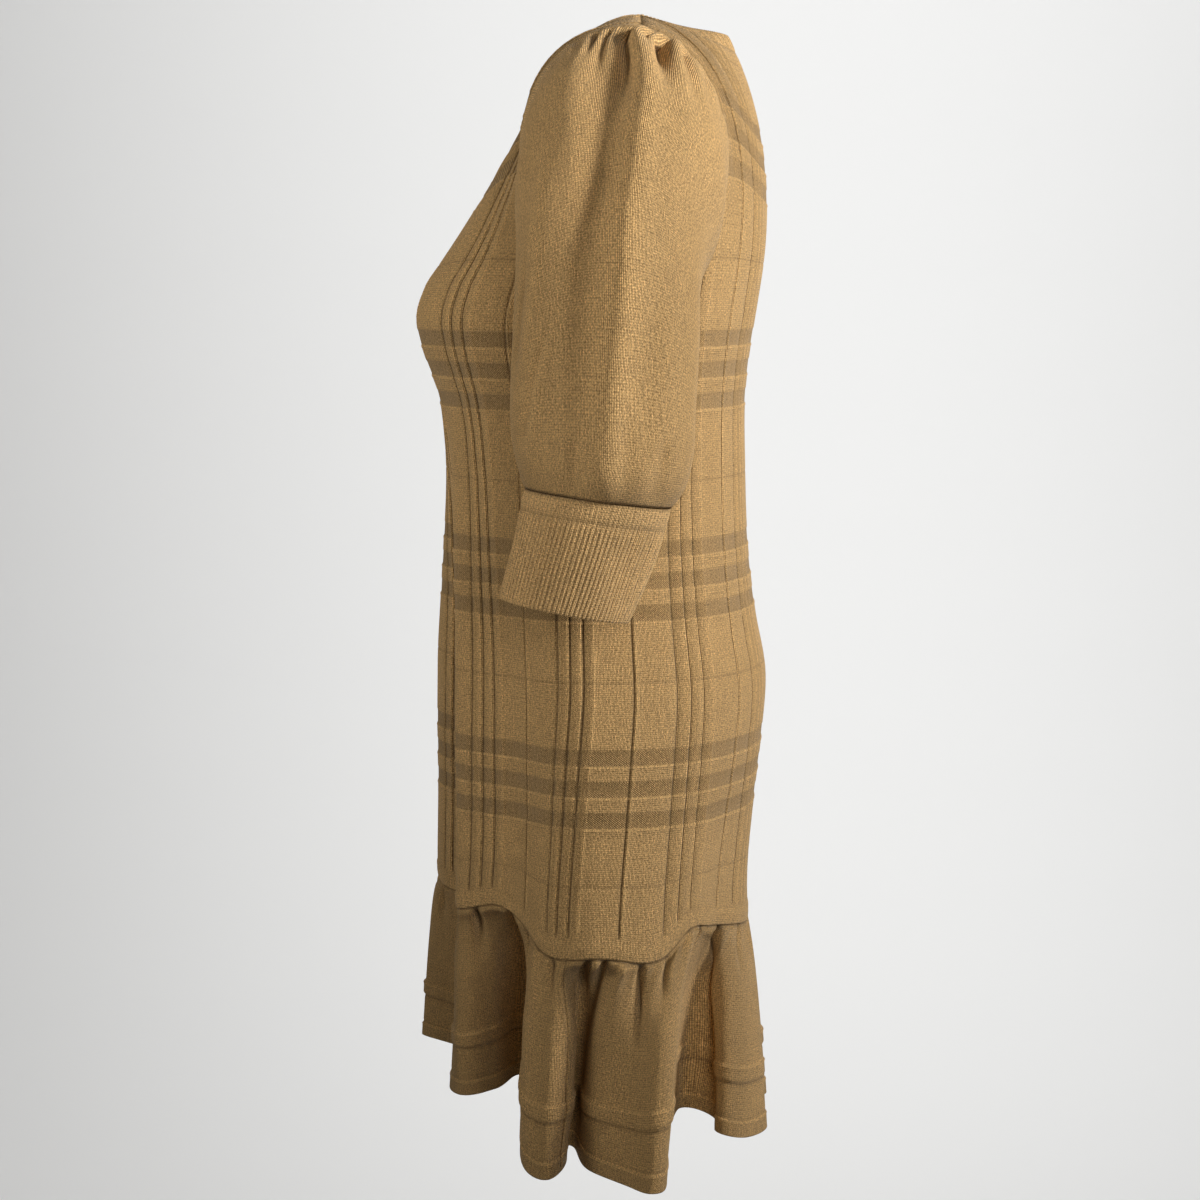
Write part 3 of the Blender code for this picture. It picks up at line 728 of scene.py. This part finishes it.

# Creases: the share down the sleeve and the turn round it where each starts and ends, how deep it is and how
# far it spreads. A negative depth sinks and a positive one stands out.
SLEEVE_CREASES = table(
    "share turn end_share end_turn depth spread",
    [
        (0.00, 0.27, 0.20, 0.38, -0.0060, 0.0045),
        (0.00, 0.17, 0.26, 0.27, -0.0078, 0.0042),
        (0.00, 0.095, 0.16, 0.11, -0.0062, 0.0034),
        (0.00, 0.035, 0.34, -0.08, -0.0110, 0.0052),
        (0.00, 0.065, 0.24, 0.05, 0.0030, 0.0040),
        (0.00, 0.135, 0.20, 0.18, 0.0028, 0.0040),
        (0.00, 0.22, 0.20, 0.31, 0.0028, 0.0045),
        (0.00, -0.045, 0.30, -0.22, 0.0040, 0.0065),
        (0.00, -0.13, 0.15, -0.26, -0.0056, 0.0040),
        (0.00, -0.21, 0.18, -0.33, 0.0030, 0.0050),
        (0.00, -0.30, 0.29, -0.47, -0.0150, 0.0070),
        (0.00, -0.40, 0.20, -0.60, 0.0030, 0.0060),
        (0.00, -0.52, 0.28, -0.88, -0.0060, 0.0055),
        (0.00, -0.78, 0.22, -1.10, -0.0030, 0.0060),
        (0.00, -1.10, 0.20, -1.30, -0.0022, 0.0070),
        (0.00, 0.42, 0.18, 0.56, -0.0034, 0.0050),
        (0.00, 0.66, 0.16, 0.80, -0.0026, 0.0060),
        (0.00, 1.00, 0.14, 1.10, -0.0018, 0.0070),
        (0.02, 0.03, 0.62, -0.03, -0.0080, 0.0140),
        (0.06, 0.14, 0.70, 0.20, -0.0040, 0.0220),
        (0.06, -0.20, 0.80, -0.30, 0.0060, 0.0130),
        (0.36, -0.20, 1.06, 0.00, 0.0070, 0.0110),
        (0.30, 0.12, 1.00, 0.24, -0.0040, 0.0140),
        (0.30, 0.75, 0.80, 0.90, 0.0040, 0.0160),
        (0.58, -0.55, 0.97, -0.40, -0.0024, 0.0160),
        (0.68, 0.58, 0.92, 1.15, -0.0032, 0.0060),
        (0.70, 0.66, 0.97, 1.05, 0.0024, 0.0090),
        (0.50, 0.95, 0.80, 1.35, -0.0030, 0.0100),
        (0.80, -0.20, 1.00, -0.26, -0.0020, 0.0080),
        (0.84, -0.75, 1.00, -0.70, -0.0026, 0.0080),
        (0.86, 0.30, 1.00, 0.33, -0.0018, 0.0070),
        (0.60, 2.20, 0.95, 2.60, -0.0040, 0.0100),
        (0.45, -2.30, 0.85, -2.60, -0.0036, 0.0110),
        (0.30, 2.60, 0.60, 2.90, -0.0030, 0.0100),
    ],
)


def oval(turn):
    """How far across and along a ring's oval each turn reaches, from -1 to 1."""
    power = 2 / SLEEVE_SQUARENESS
    return [np.sign(wave) * np.abs(wave) ** power for wave in (np.cos(turn), np.sin(turn))]


def sleeve_point(turn, share):
    """Points of the left sleeve, from the armhole at share 0 to the cuff seam at share 1."""
    ring = SLEEVE(share)
    crown = np.stack((ring.crown_x, ring.mid_y, ring.crown_z), axis=-1)
    under = np.stack((ring.under_x, ring.mid_y, ring.under_z), axis=-1)
    lean = np.radians(ring.lean)
    forward = np.stack((0 * lean, -np.cos(lean), np.sin(lean)), axis=-1) * ring.half_depth[..., None]
    across, along = (reach[..., None] for reach in oval(turn))
    point = (crown + under) / 2 + (crown - under) / 2 * across + forward * along
    away = (turn - TROUGH.turn + math.pi) % (2 * math.pi) - math.pi
    sunk = (away / TROUGH.half_breadth) ** 2 + ((share - TROUGH.share) / TROUGH.half_share) ** 2
    inward = (under - crown) / np.linalg.norm(under - crown, axis=-1, keepdims=True)
    point = point + inward * (TROUGH.depth * np.exp(-sunk))[..., None]
    # The head eases out of the armhole, and stands a little clear of it at the underarm
    front = (turn % (2 * math.pi)) < math.pi
    round_it = np.where(front, turn % (2 * math.pi), 2 * math.pi - turn % (2 * math.pi))
    course = YOKE_LENGTH * (1 - round_it / math.pi)
    edge = np.where(front[..., None], panel_point(True, 1.0, course), panel_point(False, 1.0, course))
    down = 0.5 * (1 - np.cos(turn))
    gap = HEAD_GAP + (UNDERARM_GAP - HEAD_GAP) * down**2
    edge[..., 0] += gap
    head = np.clip(share / SLEEVE_HEAD, 0, 1)[..., None]
    return edge + (point - edge) * head


def crease_relief(creases, turn, share):
    """Each crease follows a straight line on the flat cloth, and fades in and out along it."""
    relief = np.zeros(turn.shape)
    for crease in creases:
        along = (share - crease.share) / (crease.end_share - crease.share)
        line = crease.turn + (crease.end_turn - crease.turn) * along
        away = ((turn - line + math.pi) % (2 * math.pi) - math.pi) * SLEEVE_WIDTH / (2 * math.pi)
        spread = crease.spread * (0.55 + 0.9 * np.clip(along, 0, 1))
        if crease.share == 0:  # a pleat of the head, deepest at the armhole
            fade = eased((1 - along) / 0.75) * (0.35 + 0.65 * eased(along / 0.18 + 0.2))
        else:
            fade = eased(along / 0.35) * eased((1 - along) / 0.35)
        relief += crease.depth * fade * bell(away, spread)
    return relief


def varied(creases, seed):
    """The same creases as another sleeve would have them: a little longer or shorter, deeper or shallower."""
    seeded = np.random.default_rng(seed)
    changed = []
    for crease in creases:
        other = SimpleNamespace(**vars(crease))
        shift = seeded.uniform(-0.035, 0.035)
        other.turn += shift
        other.end_turn += shift
        other.end_share = crease.share + (crease.end_share - crease.share) * seeded.uniform(0.85, 1.15)
        other.depth *= seeded.uniform(0.7, 1.15)
        changed.append(other)
    return changed


def sleeve(name, sign, made_creases):
    turns = np.linspace(-math.pi, math.pi, 300, endpoint=False)
    turns = turns - 0.28 * np.sin(turns)  # closer together over the crown, where the pleats are
    shares = np.concatenate((np.linspace(0, 0.30, 62), np.linspace(0.30, 1.0, 84)[1:]))
    turn, share = np.meshgrid(turns, shares)
    middle = sleeve_point(turn, share)
    axis = middle.mean(axis=1, keepdims=True)
    creases = crease_relief(made_creases, turn, share)
    creases *= 0.10 + 0.90 * eased(share / 0.05)
    middle = middle + outward(middle, True, axis) * creases[..., None]
    normal = outward(middle, True, axis)
    from_seam = share * SLEEVE_LENGTH
    to_cuff = (1 - share) * SLEEVE_LENGTH
    relief = edge_pinch(from_seam, 0.003, 0.0006) + edge_pinch(to_cuff, 0.004, 0.0008)
    # Painted shade along the armhole seam and along the cuff seam
    painted_shade = 0.9 * np.exp(-((from_seam / 0.0018) ** 2)) + 0.6 * np.exp(-((to_cuff / 0.0018) ** 2))
    middle[..., 0] *= sign
    normal[..., 0] *= sign
    masks = dict(reverse=0 * share, painted_shade=painted_shade, painted_highlight=0 * share)
    across = turn * SLEEVE_WIDTH / (2 * math.pi)
    piece = cloth(name, middle, normal, relief, across, share * SLEEVE_LENGTH, True, knit, masks)


sleeve("sleeve_left", 1.0, SLEEVE_CREASES)
sleeve("sleeve_right", -1.0, varied(SLEEVE_CREASES, seed=11))


# ---- Cuffs -----------------------------------------------------------------------------------------------
# A deep cuff of 1x1 rib linked to each sleeve's gathered end. It grips the fullness above it.

CUFF_RIBS = 84
CUFF_DEPTH = 0.086
CUFF_GIRTH = 0.297
CUFF_JOIN = 0.016  # a shallow line below the seam, where the ribs begin to stand up

# Rings of the left cuff, from its seam to its open edge
CUFF = curve(
    "share x y z half_width half_depth lean",
    [
        (0.0, 0.2370, -0.0326, -0.3614, 0.0400, 0.0545, 8.0),
        (0.3, 0.2370, -0.0395, -0.3860, 0.0392, 0.0530, 9.5),
        (0.7, 0.2370, -0.0500, -0.4200, 0.0390, 0.0505, 10.5),
        (1.0, 0.2370, -0.0575, -0.4440, 0.0392, 0.0485, 11.0),
    ],
)


def cuff_point(turn, share):
    ring = CUFF(share)
    lean = np.radians(ring.lean)
    across, along = oval(turn)
    across, along = across * ring.half_width, along * ring.half_depth
    return np.stack((ring.x + across, ring.y - along * np.cos(lean), ring.z + along * np.sin(lean)), axis=-1)


def cuff(name, sign):
    count = CUFF_RIBS * POINTS_A_RIB
    # Even steps round the oval, so that the ribs are evenly spaced
    fine = np.linspace(-math.pi, math.pi, 4001)
    outline = cuff_point(fine, np.full(fine.shape, 0.5))
    length = np.concatenate(([0.0], np.cumsum(np.linalg.norm(np.diff(outline, axis=0), axis=1))))
    turns = np.interp(np.arange(count) / count * length[-1], length, fine)
    near_join = (CUFF_JOIN - 0.0014, CUFF_JOIN, CUFF_JOIN + 0.0014)
    depths = spaced(0.0, CUFF_DEPTH, 0.004, (0.0012, 0.0028, *near_join, CUFF_DEPTH - 0.0012))
    turn, share = np.meshgrid(turns, depths / CUFF_DEPTH)
    middle = cuff_point(turn, share)
    wave = (np.sin(3 * turn + 0.7) * 0.0012 + np.sin(5 * turn + 2.1) * 0.0008) * np.sin(math.pi * share) ** 2
    middle = middle + outward(middle, True, middle.mean(axis=1, keepdims=True)) * wave[..., None]
    normal = outward(middle, True, middle.mean(axis=1, keepdims=True))
    phase = np.broadcast_to(np.arange(count) / POINTS_A_RIB, turn.shape)
    depth = share * CUFF_DEPTH
    relief, masks = ribs(phase, 0.0009)
    strength = 0.45 + 0.55 * eased((depth - CUFF_JOIN + 0.002) / 0.008)
    relief = relief * strength
    line = bell(depth - CUFF_JOIN, 0.0016)
    relief += edge_pinch(depth, 0.003, 0.0010) + edge_pinch(CUFF_DEPTH - depth, 0.002, 0.0005) - 0.0007 * line
    masks = {kind: values * strength for kind, values in masks.items()}
    # Painted shade along the shallow line below the seam and along the seam itself
    masks["painted_shade"] = np.maximum(masks["painted_shade"], 0.45 * line + 0.8 * np.exp(-((depth / 0.0016) ** 2)))
    middle[..., 0] *= sign
    normal[..., 0] *= sign
    across = np.broadcast_to(np.arange(count) / count * CUFF_GIRTH, turn.shape)
    piece = cloth(name, middle, normal, relief, across, depth, True, rib_knit, masks)


cuff("cuff_left", 1.0)
cuff("cuff_right", -1.0)


# ---- Flounce ---------------------------------------------------------------------------------------------
# A plain knit strip gathered to the body's lower edge and falling in deep flutes. A narrow tuck runs round it
# two thirds of the way down, and the hem is a rolled welt. The halves meet at the side seams.

FLOUNCE_STRAIGHT = 0.035  # share of its depth over which it hangs straight, before it opens
FLOUNCE_PUFF = 0.55  # how early it opens: 1 is an even flare
FLOUNCE_DEPTH = 0.165
FLOUNCE_EDGE = 0.9996  # how much of its width each half fills, short of the side seams
GATHER_FULLNESS = 1.7
HEM_GIRTH = 1.6  # along its flutes
SMALL_GATHERS = 64  # even ones between the deep ones, all round
TUCK_TOP, TUCK_END = 0.672, 0.745
WELT_TOP = 0.925

# The flounce's lower edge: its crests and valleys, by share of the girth from the centre front
HEM = curve(
    "share x y z",
    [
        (0.015, -0.030, -0.132, -0.846),
        (0.050, 0.010, -0.152, -0.857),
        (0.085, 0.038, -0.144, -0.859),
        (0.120, 0.044, -0.116, -0.853),
        (0.150, 0.046, -0.094, -0.847),
        (0.178, 0.112, -0.092, -0.876),
        (0.198, 0.160, -0.083, -0.892),
        (0.212, 0.168, -0.073, -0.894),
        (0.238, 0.112, -0.058, -0.883),
        (0.262, 0.146, -0.036, -0.890),
        (0.288, 0.188, -0.011, -0.893),
        (0.318, 0.202, 0.013, -0.894),
        (0.338, 0.170, 0.021, -0.886),
        (0.365, 0.088, 0.033, -0.862),
        (0.398, 0.116, 0.058, -0.870),
        (0.430, 0.104, 0.084, -0.878),
        (0.458, 0.062, 0.102, -0.880),
        (0.500, 0.000, 0.072, -0.868),
        (0.530, -0.040, 0.104, -0.880),
        (0.555, -0.078, 0.104, -0.882),
        (0.585, -0.088, 0.064, -0.866),
        (0.615, -0.136, 0.082, -0.884),
        (0.638, -0.160, 0.066, -0.886),
        (0.665, -0.124, 0.028, -0.866),
        (0.695, -0.190, 0.022, -0.892),
        (0.720, -0.202, 0.000, -0.894),
        (0.750, -0.124, -0.024, -0.876),
        (0.780, -0.178, -0.058, -0.890),
        (0.802, -0.178, -0.082, -0.890),
        (0.835, -0.098, -0.088, -0.856),
        (0.862, -0.128, -0.132, -0.862),
        (0.885, -0.128, -0.154, -0.862),
        (0.912, -0.090, -0.128, -0.848),
        (0.935, -0.104, -0.170, -0.842),
        (0.960, -0.082, -0.180, -0.838),
    ],
    period=1.0,
)

# Gathers at the seam: the share of the girth where each starts and ends, how far down it runs, its depth
# (out +) and its spread in shares.
GATHERS = table(
    "share ends down depth spread",
    [
        (0.238, 0.241, 0.55, -0.0075, 0.0050),
        (0.2515, 0.246, 0.42, -0.0060, 0.0042),
        (0.2445, 0.243, 0.20, 0.0024, 0.0036),
        (0.2795, 0.293, 0.50, -0.0052, 0.0045),
        (0.265, 0.270, 0.38, 0.0026, 0.0070),
        (0.302, 0.310, 0.30, -0.0020, 0.0040),
        (0.343, 0.352, 0.34, -0.0050, 0.0040),
        (0.326, 0.333, 0.30, 0.0022, 0.0060),
        (0.383, 0.402, 0.60, -0.0050, 0.0090),
        (0.362, 0.370, 0.30, 0.0020, 0.0060),
        (0.420, 0.427, 0.30, -0.0026, 0.0045),
        (0.452, 0.458, 0.26, -0.0034, 0.0050),
        (0.486, 0.490, 0.40, -0.0040, 0.0060),
        (0.206, 0.212, 0.26, -0.0022, 0.0040),
        (0.190, 0.195, 0.34, 0.0024, 0.0060),
        (0.168, 0.176, 0.40, -0.0040, 0.0050),
        (0.146, 0.150, 0.50, -0.0046, 0.0060),
        (0.112, 0.116, 0.34, -0.0034, 0.0050),
        (0.080, 0.084, 0.28, -0.0028, 0.0045),
        (0.050, 0.052, 0.36, -0.0036, 0.0055),
        (0.016, 0.014, 0.30, -0.0032, 0.0050),
        (0.524, 0.529, 0.32, -0.0036, 0.0050),
        (0.561, 0.566, 0.26, -0.0028, 0.0045),
        (0.588, 0.586, 0.52, -0.0050, 0.0060),
        (0.622, 0.626, 0.30, -0.0032, 0.0048),
        (0.660, 0.664, 0.56, -0.0052, 0.0064),
        (0.701, 0.706, 0.28, -0.0030, 0.0046),
        (0.735, 0.742, 0.36, -0.0040, 0.0050),
        (0.752, 0.751, 0.52, -0.0060, 0.0056),
        (0.790, 0.794, 0.30, -0.0030, 0.0048),
        (0.832, 0.836, 0.54, -0.0052, 0.0062),
        (0.871, 0.868, 0.28, -0.0028, 0.0046),
        (0.905, 0.910, 0.44, -0.0046, 0.0056),
        (0.946, 0.944, 0.30, -0.0030, 0.0048),
        (0.976, 0.980, 0.34, -0.0036, 0.0052),
    ],
)

# The flutes between the hem's crests: rounded fronts (out +) and narrow deep valleys, by share of the girth
FLUTES = table(
    "share spread depth",
    [
        (0.242, 0.009, -0.006),
        (0.225, 0.010, 0.011),
        (0.265, 0.014, 0.010),
        (0.190, 0.010, 0.006),
        (0.150, 0.014, -0.014),
        (0.100, 0.018, 0.006),
        (0.386, 0.017, -0.024),
        (0.350, 0.012, -0.010),
        (0.318, 0.014, 0.005),
        (0.494, 0.010, -0.010),
        (0.588, 0.010, -0.010),
        (0.664, 0.010, -0.012),
        (0.751, 0.010, -0.014),
        (0.836, 0.010, -0.012),
        (0.912, 0.010, -0.010),
        (0.016, 0.010, -0.008),
    ],
)


def flounce_point(is_front, column, down):
    """Points of the flounce, which hangs straight from the panel and then opens to the hem's folds."""
    top = panel_point(is_front, column, np.full(column.shape, -BODY_LENGTH))
    share = column * SIDE_SHARE_HEM
    if not is_front:
        share = np.sign(column) * (0.5 - np.abs(column) * (0.5 - SIDE_SHARE_HEM))
    hem = HEM(share)
    opening = (np.maximum(down - FLOUNCE_STRAIGHT, 0.0) / (1 - FLOUNCE_STRAIGHT)) ** FLOUNCE_PUFF
    x = top[..., 0] + (hem.x - top[..., 0]) * opening
    y = top[..., 1] + (hem.y - top[..., 1]) * opening
    return np.stack((x, y, top[..., 2] - 0.0002 + (hem.z - top[..., 2]) * down), axis=-1), share


def flounce(name, is_front, count):
    # One more column beyond each side seam, so that the two halves lie in one surface where they meet
    step = 2 * FLOUNCE_EDGE / (count - 1)
    columns = np.linspace(-FLOUNCE_EDGE - step, FLOUNCE_EDGE + step, count + 2)
    marks = [0.004, 0.012, 0.025, 0.985, 0.994]
    marks += [TUCK_TOP + away for away in (-0.012, 0.0, 0.008, 0.020)]
    marks += [TUCK_END + away for away in (-0.016, -0.006, 0.0, 0.004, 0.012)]
    marks += [WELT_TOP + away for away in (-0.010, -0.004, 0.0, 0.006, 0.014)]
    downs = spaced(0.0, 1.0, 0.0135, marks)
    column, down = np.meshgrid(columns, downs)
    middle, share = flounce_point(is_front, column, down)
    normal = outward(middle, False, np.array((0.0, -0.034, -0.6)))
    relief = np.zeros(column.shape)
    shadow = np.zeros(column.shape)
    for gather in GATHERS:
        along = down / gather.down
        away = round_girth(share - gather.share - (gather.ends - gather.share) * along)
        fade = eased((1 - along) / 0.85) * (0.70 + 0.30 * eased(down / 0.05))
        relief += gather.depth * fade * bell(away, gather.spread * (0.6 + 0.8 * np.clip(along, 0, 1)))
        if gather.depth < 0:
            shadow = np.maximum(shadow, 0.9 * bell(away, 0.45 * gather.spread) * eased(1 - along) ** 2)
    relief *= GATHER_FULLNESS
    seeded = np.random.default_rng(7)
    for k in range(SMALL_GATHERS):
        centre = (k + seeded.uniform(-0.25, 0.25)) / SMALL_GATHERS
        reach = seeded.uniform(0.14, 0.34)
        small = seeded.uniform(0.0010, 0.0022)
        relief += small * bell(round_girth(share - centre), 0.0042) * eased(1 - down / reach)
    relief -= 0.0010 * eased(1 - down / 0.25)
    relief *= 0.30 + 0.70 * eased(down / 0.04)
    for flute in FLUTES:
        grown = eased(down / 0.40) * (1 - 0.35 * eased((down - 0.7) / 0.3))
        relief += flute.depth * grown * bell(round_girth(share - flute.share), flute.spread)
    middle = middle + normal * relief[..., None]
    normal = outward(middle, False, np.array((0.0, -0.034, -0.6)))
    every_point = (middle, normal, share, down, shadow)
    middle, normal, share, down, shadow = (values[:, 1:-1] for values in every_point)
    relief = np.zeros(down.shape)
    tuck = eased((down - TUCK_TOP + 0.012) / 0.016) * eased((TUCK_END - down) / 0.012)
    tuck_edge = bell(down - TUCK_TOP, 0.006)
    below = bell(down - TUCK_END - 0.006, 0.006)
    welt = eased((down - WELT_TOP) / 0.006)
    welt_edge = bell(down - WELT_TOP - 0.004, 0.005)
    relief += 0.0014 * tuck + 0.0008 * tuck_edge - 0.0006 * below
    relief += 0.0007 * welt + 0.0004 * welt_edge - 0.0003 * bell(down - WELT_TOP + 0.010, 0.006)
    depth = down * FLOUNCE_DEPTH
    relief += edge_pinch(depth, 0.004, 0.0014)
    # Painted shade under the tuck, just above the welt, in the slits of the gathers and along the seam, and a
    # painted highlight along the top edges of the tuck and the welt
    painted_shade = 0.55 * below + 0.25 * bell(down - WELT_TOP + 0.009, 0.005) + shadow
    painted_shade += 0.9 * np.exp(-((depth / 0.0016) ** 2))
    masks = dict(
        reverse=0.5 * welt * (1 - welt_edge),
        painted_shade=np.minimum(painted_shade, 1.0),
        painted_highlight=1.0 * np.minimum(tuck_edge + welt_edge, 1.0),
    )
    flat_share = share if is_front else share % 1.0
    return cloth(name, middle, normal, relief, flat_share * HEM_GIRTH, -depth, False, knit, masks)


flounce_front = flounce("flounce_front", True, 420)
flounce_back = flounce("flounce_back", False, 520)


# ---- Studio ----------------------------------------------------------------------------------------------
# A plain pale floor that curves up into a backdrop, soft light from the wearer's back, and the camera at the
# wearer's left side, a little above and looking slightly down.

scene = bpy.context.scene
scene.view_settings.view_transform = "Standard"

camera_data = bpy.data.cameras.new("Camera")
camera_data.sensor_width = 36.0
camera_data.lens = 102.54
camera = bpy.data.objects.new("Camera", camera_data)
camera.location = (2.75, -0.031, -0.1725)
camera.rotation_euler = (math.radians(90.0 - 6.0), 0.0, math.radians(90.0))
scene.collection.objects.link(camera)
scene.camera = camera

FLOOR_Z = -1.70
FLOOR_END = 4.5
WALL_X = -3.7
WALL_TOP = 3.5
HALF_WIDTH = 2.8
SWEEP = 2.0  # radius of the curve from floor to wall
profile = [(FLOOR_END, FLOOR_Z)]
for k in range(13):
    angle = math.radians(7.5 * k)
    profile.append((WALL_X + SWEEP * (1 - math.sin(angle)), FLOOR_Z + SWEEP * (1 - math.cos(angle))))
profile.append((WALL_X, WALL_TOP))
points = [(x, y, z) for x, z in profile for y in (-HALF_WIDTH, HALF_WIDTH)]
faces = [(2 * k, 2 * k + 1, 2 * k + 3, 2 * k + 2) for k in range(len(profile) - 1)]
sweep = bpy.data.meshes.new("Backdrop")
sweep.from_pydata(points, [], faces)
sweep.shade_smooth()
paper = bpy.data.materials.new("pale paper")
paper.use_nodes = True
paper_tree = paper.node_tree
paper_shader = paper_tree.nodes["Principled BSDF"]
paper_shader.inputs["Roughness"].default_value = 0.9
grain = paper_tree.nodes.new("ShaderNodeTexNoise")
grain.inputs["Scale"].default_value = 0.35
paper_mix = paper_tree.nodes.new("ShaderNodeMix")
paper_mix.data_type = "RGBA"
paper_mix.inputs[6].default_value = (0.80, 0.80, 0.795, 1.0)
paper_mix.inputs[7].default_value = (0.86, 0.86, 0.855, 1.0)
paper_tree.links.new(grain.outputs[0], paper_mix.inputs[0])
paper_tree.links.new(paper_mix.outputs[2], paper_shader.inputs["Base Color"])
sweep.materials.append(paper)
backdrop = bpy.data.objects.new("Backdrop", sweep)
scene.collection.objects.link(backdrop)


def soft_light(name, place, aim, size, power, spread, colour):
    data = bpy.data.lights.new(name, "AREA")
    data.shape = "SQUARE"
    data.size = size
    data.energy = power
    data.spread = math.radians(spread)
    data.color = colour
    light = bpy.data.objects.new(name, data)
    light.location = place
    direction = np.array(aim) - np.array(place)
    flat = math.hypot(direction[0], direction[1])
    turned = math.atan2(direction[0], -direction[1]) + math.pi
    light.rotation_euler = (math.atan2(flat, -direction[2]), 0.0, turned)
    scene.collection.objects.link(light)


soft_light("Key", (0.75, 2.10, 0.65), (0.0, 0.0, -0.15), 0.6, 8.3, 54.0, (1.0, 0.995, 1.0))
soft_light("Fill", (0.6, -2.0, 0.20), (0.1, -0.05, -0.22), 0.8, 2.1, 46.0, (1.0, 0.98, 0.94))
soft_light("Front", (2.4, 0.6, 0.1), (0.2, -0.03, -0.40), 1.0, 1.75, 45.0, (1.0, 0.98, 0.95))
soft_light("Backdrop glow", (-1.5, 0.4, 0.5), (-3.7, 0.4, 0.2), 2.8, 70.0, 180.0, (0.99, 0.995, 1.0))

world = bpy.data.worlds.new("Studio")
world.use_nodes = True
world.node_tree.nodes["Background"].inputs[0].default_value = (1.0, 0.90, 0.74, 1.0)
world.node_tree.nodes["Background"].inputs[1].default_value = 0.05
scene.world = world
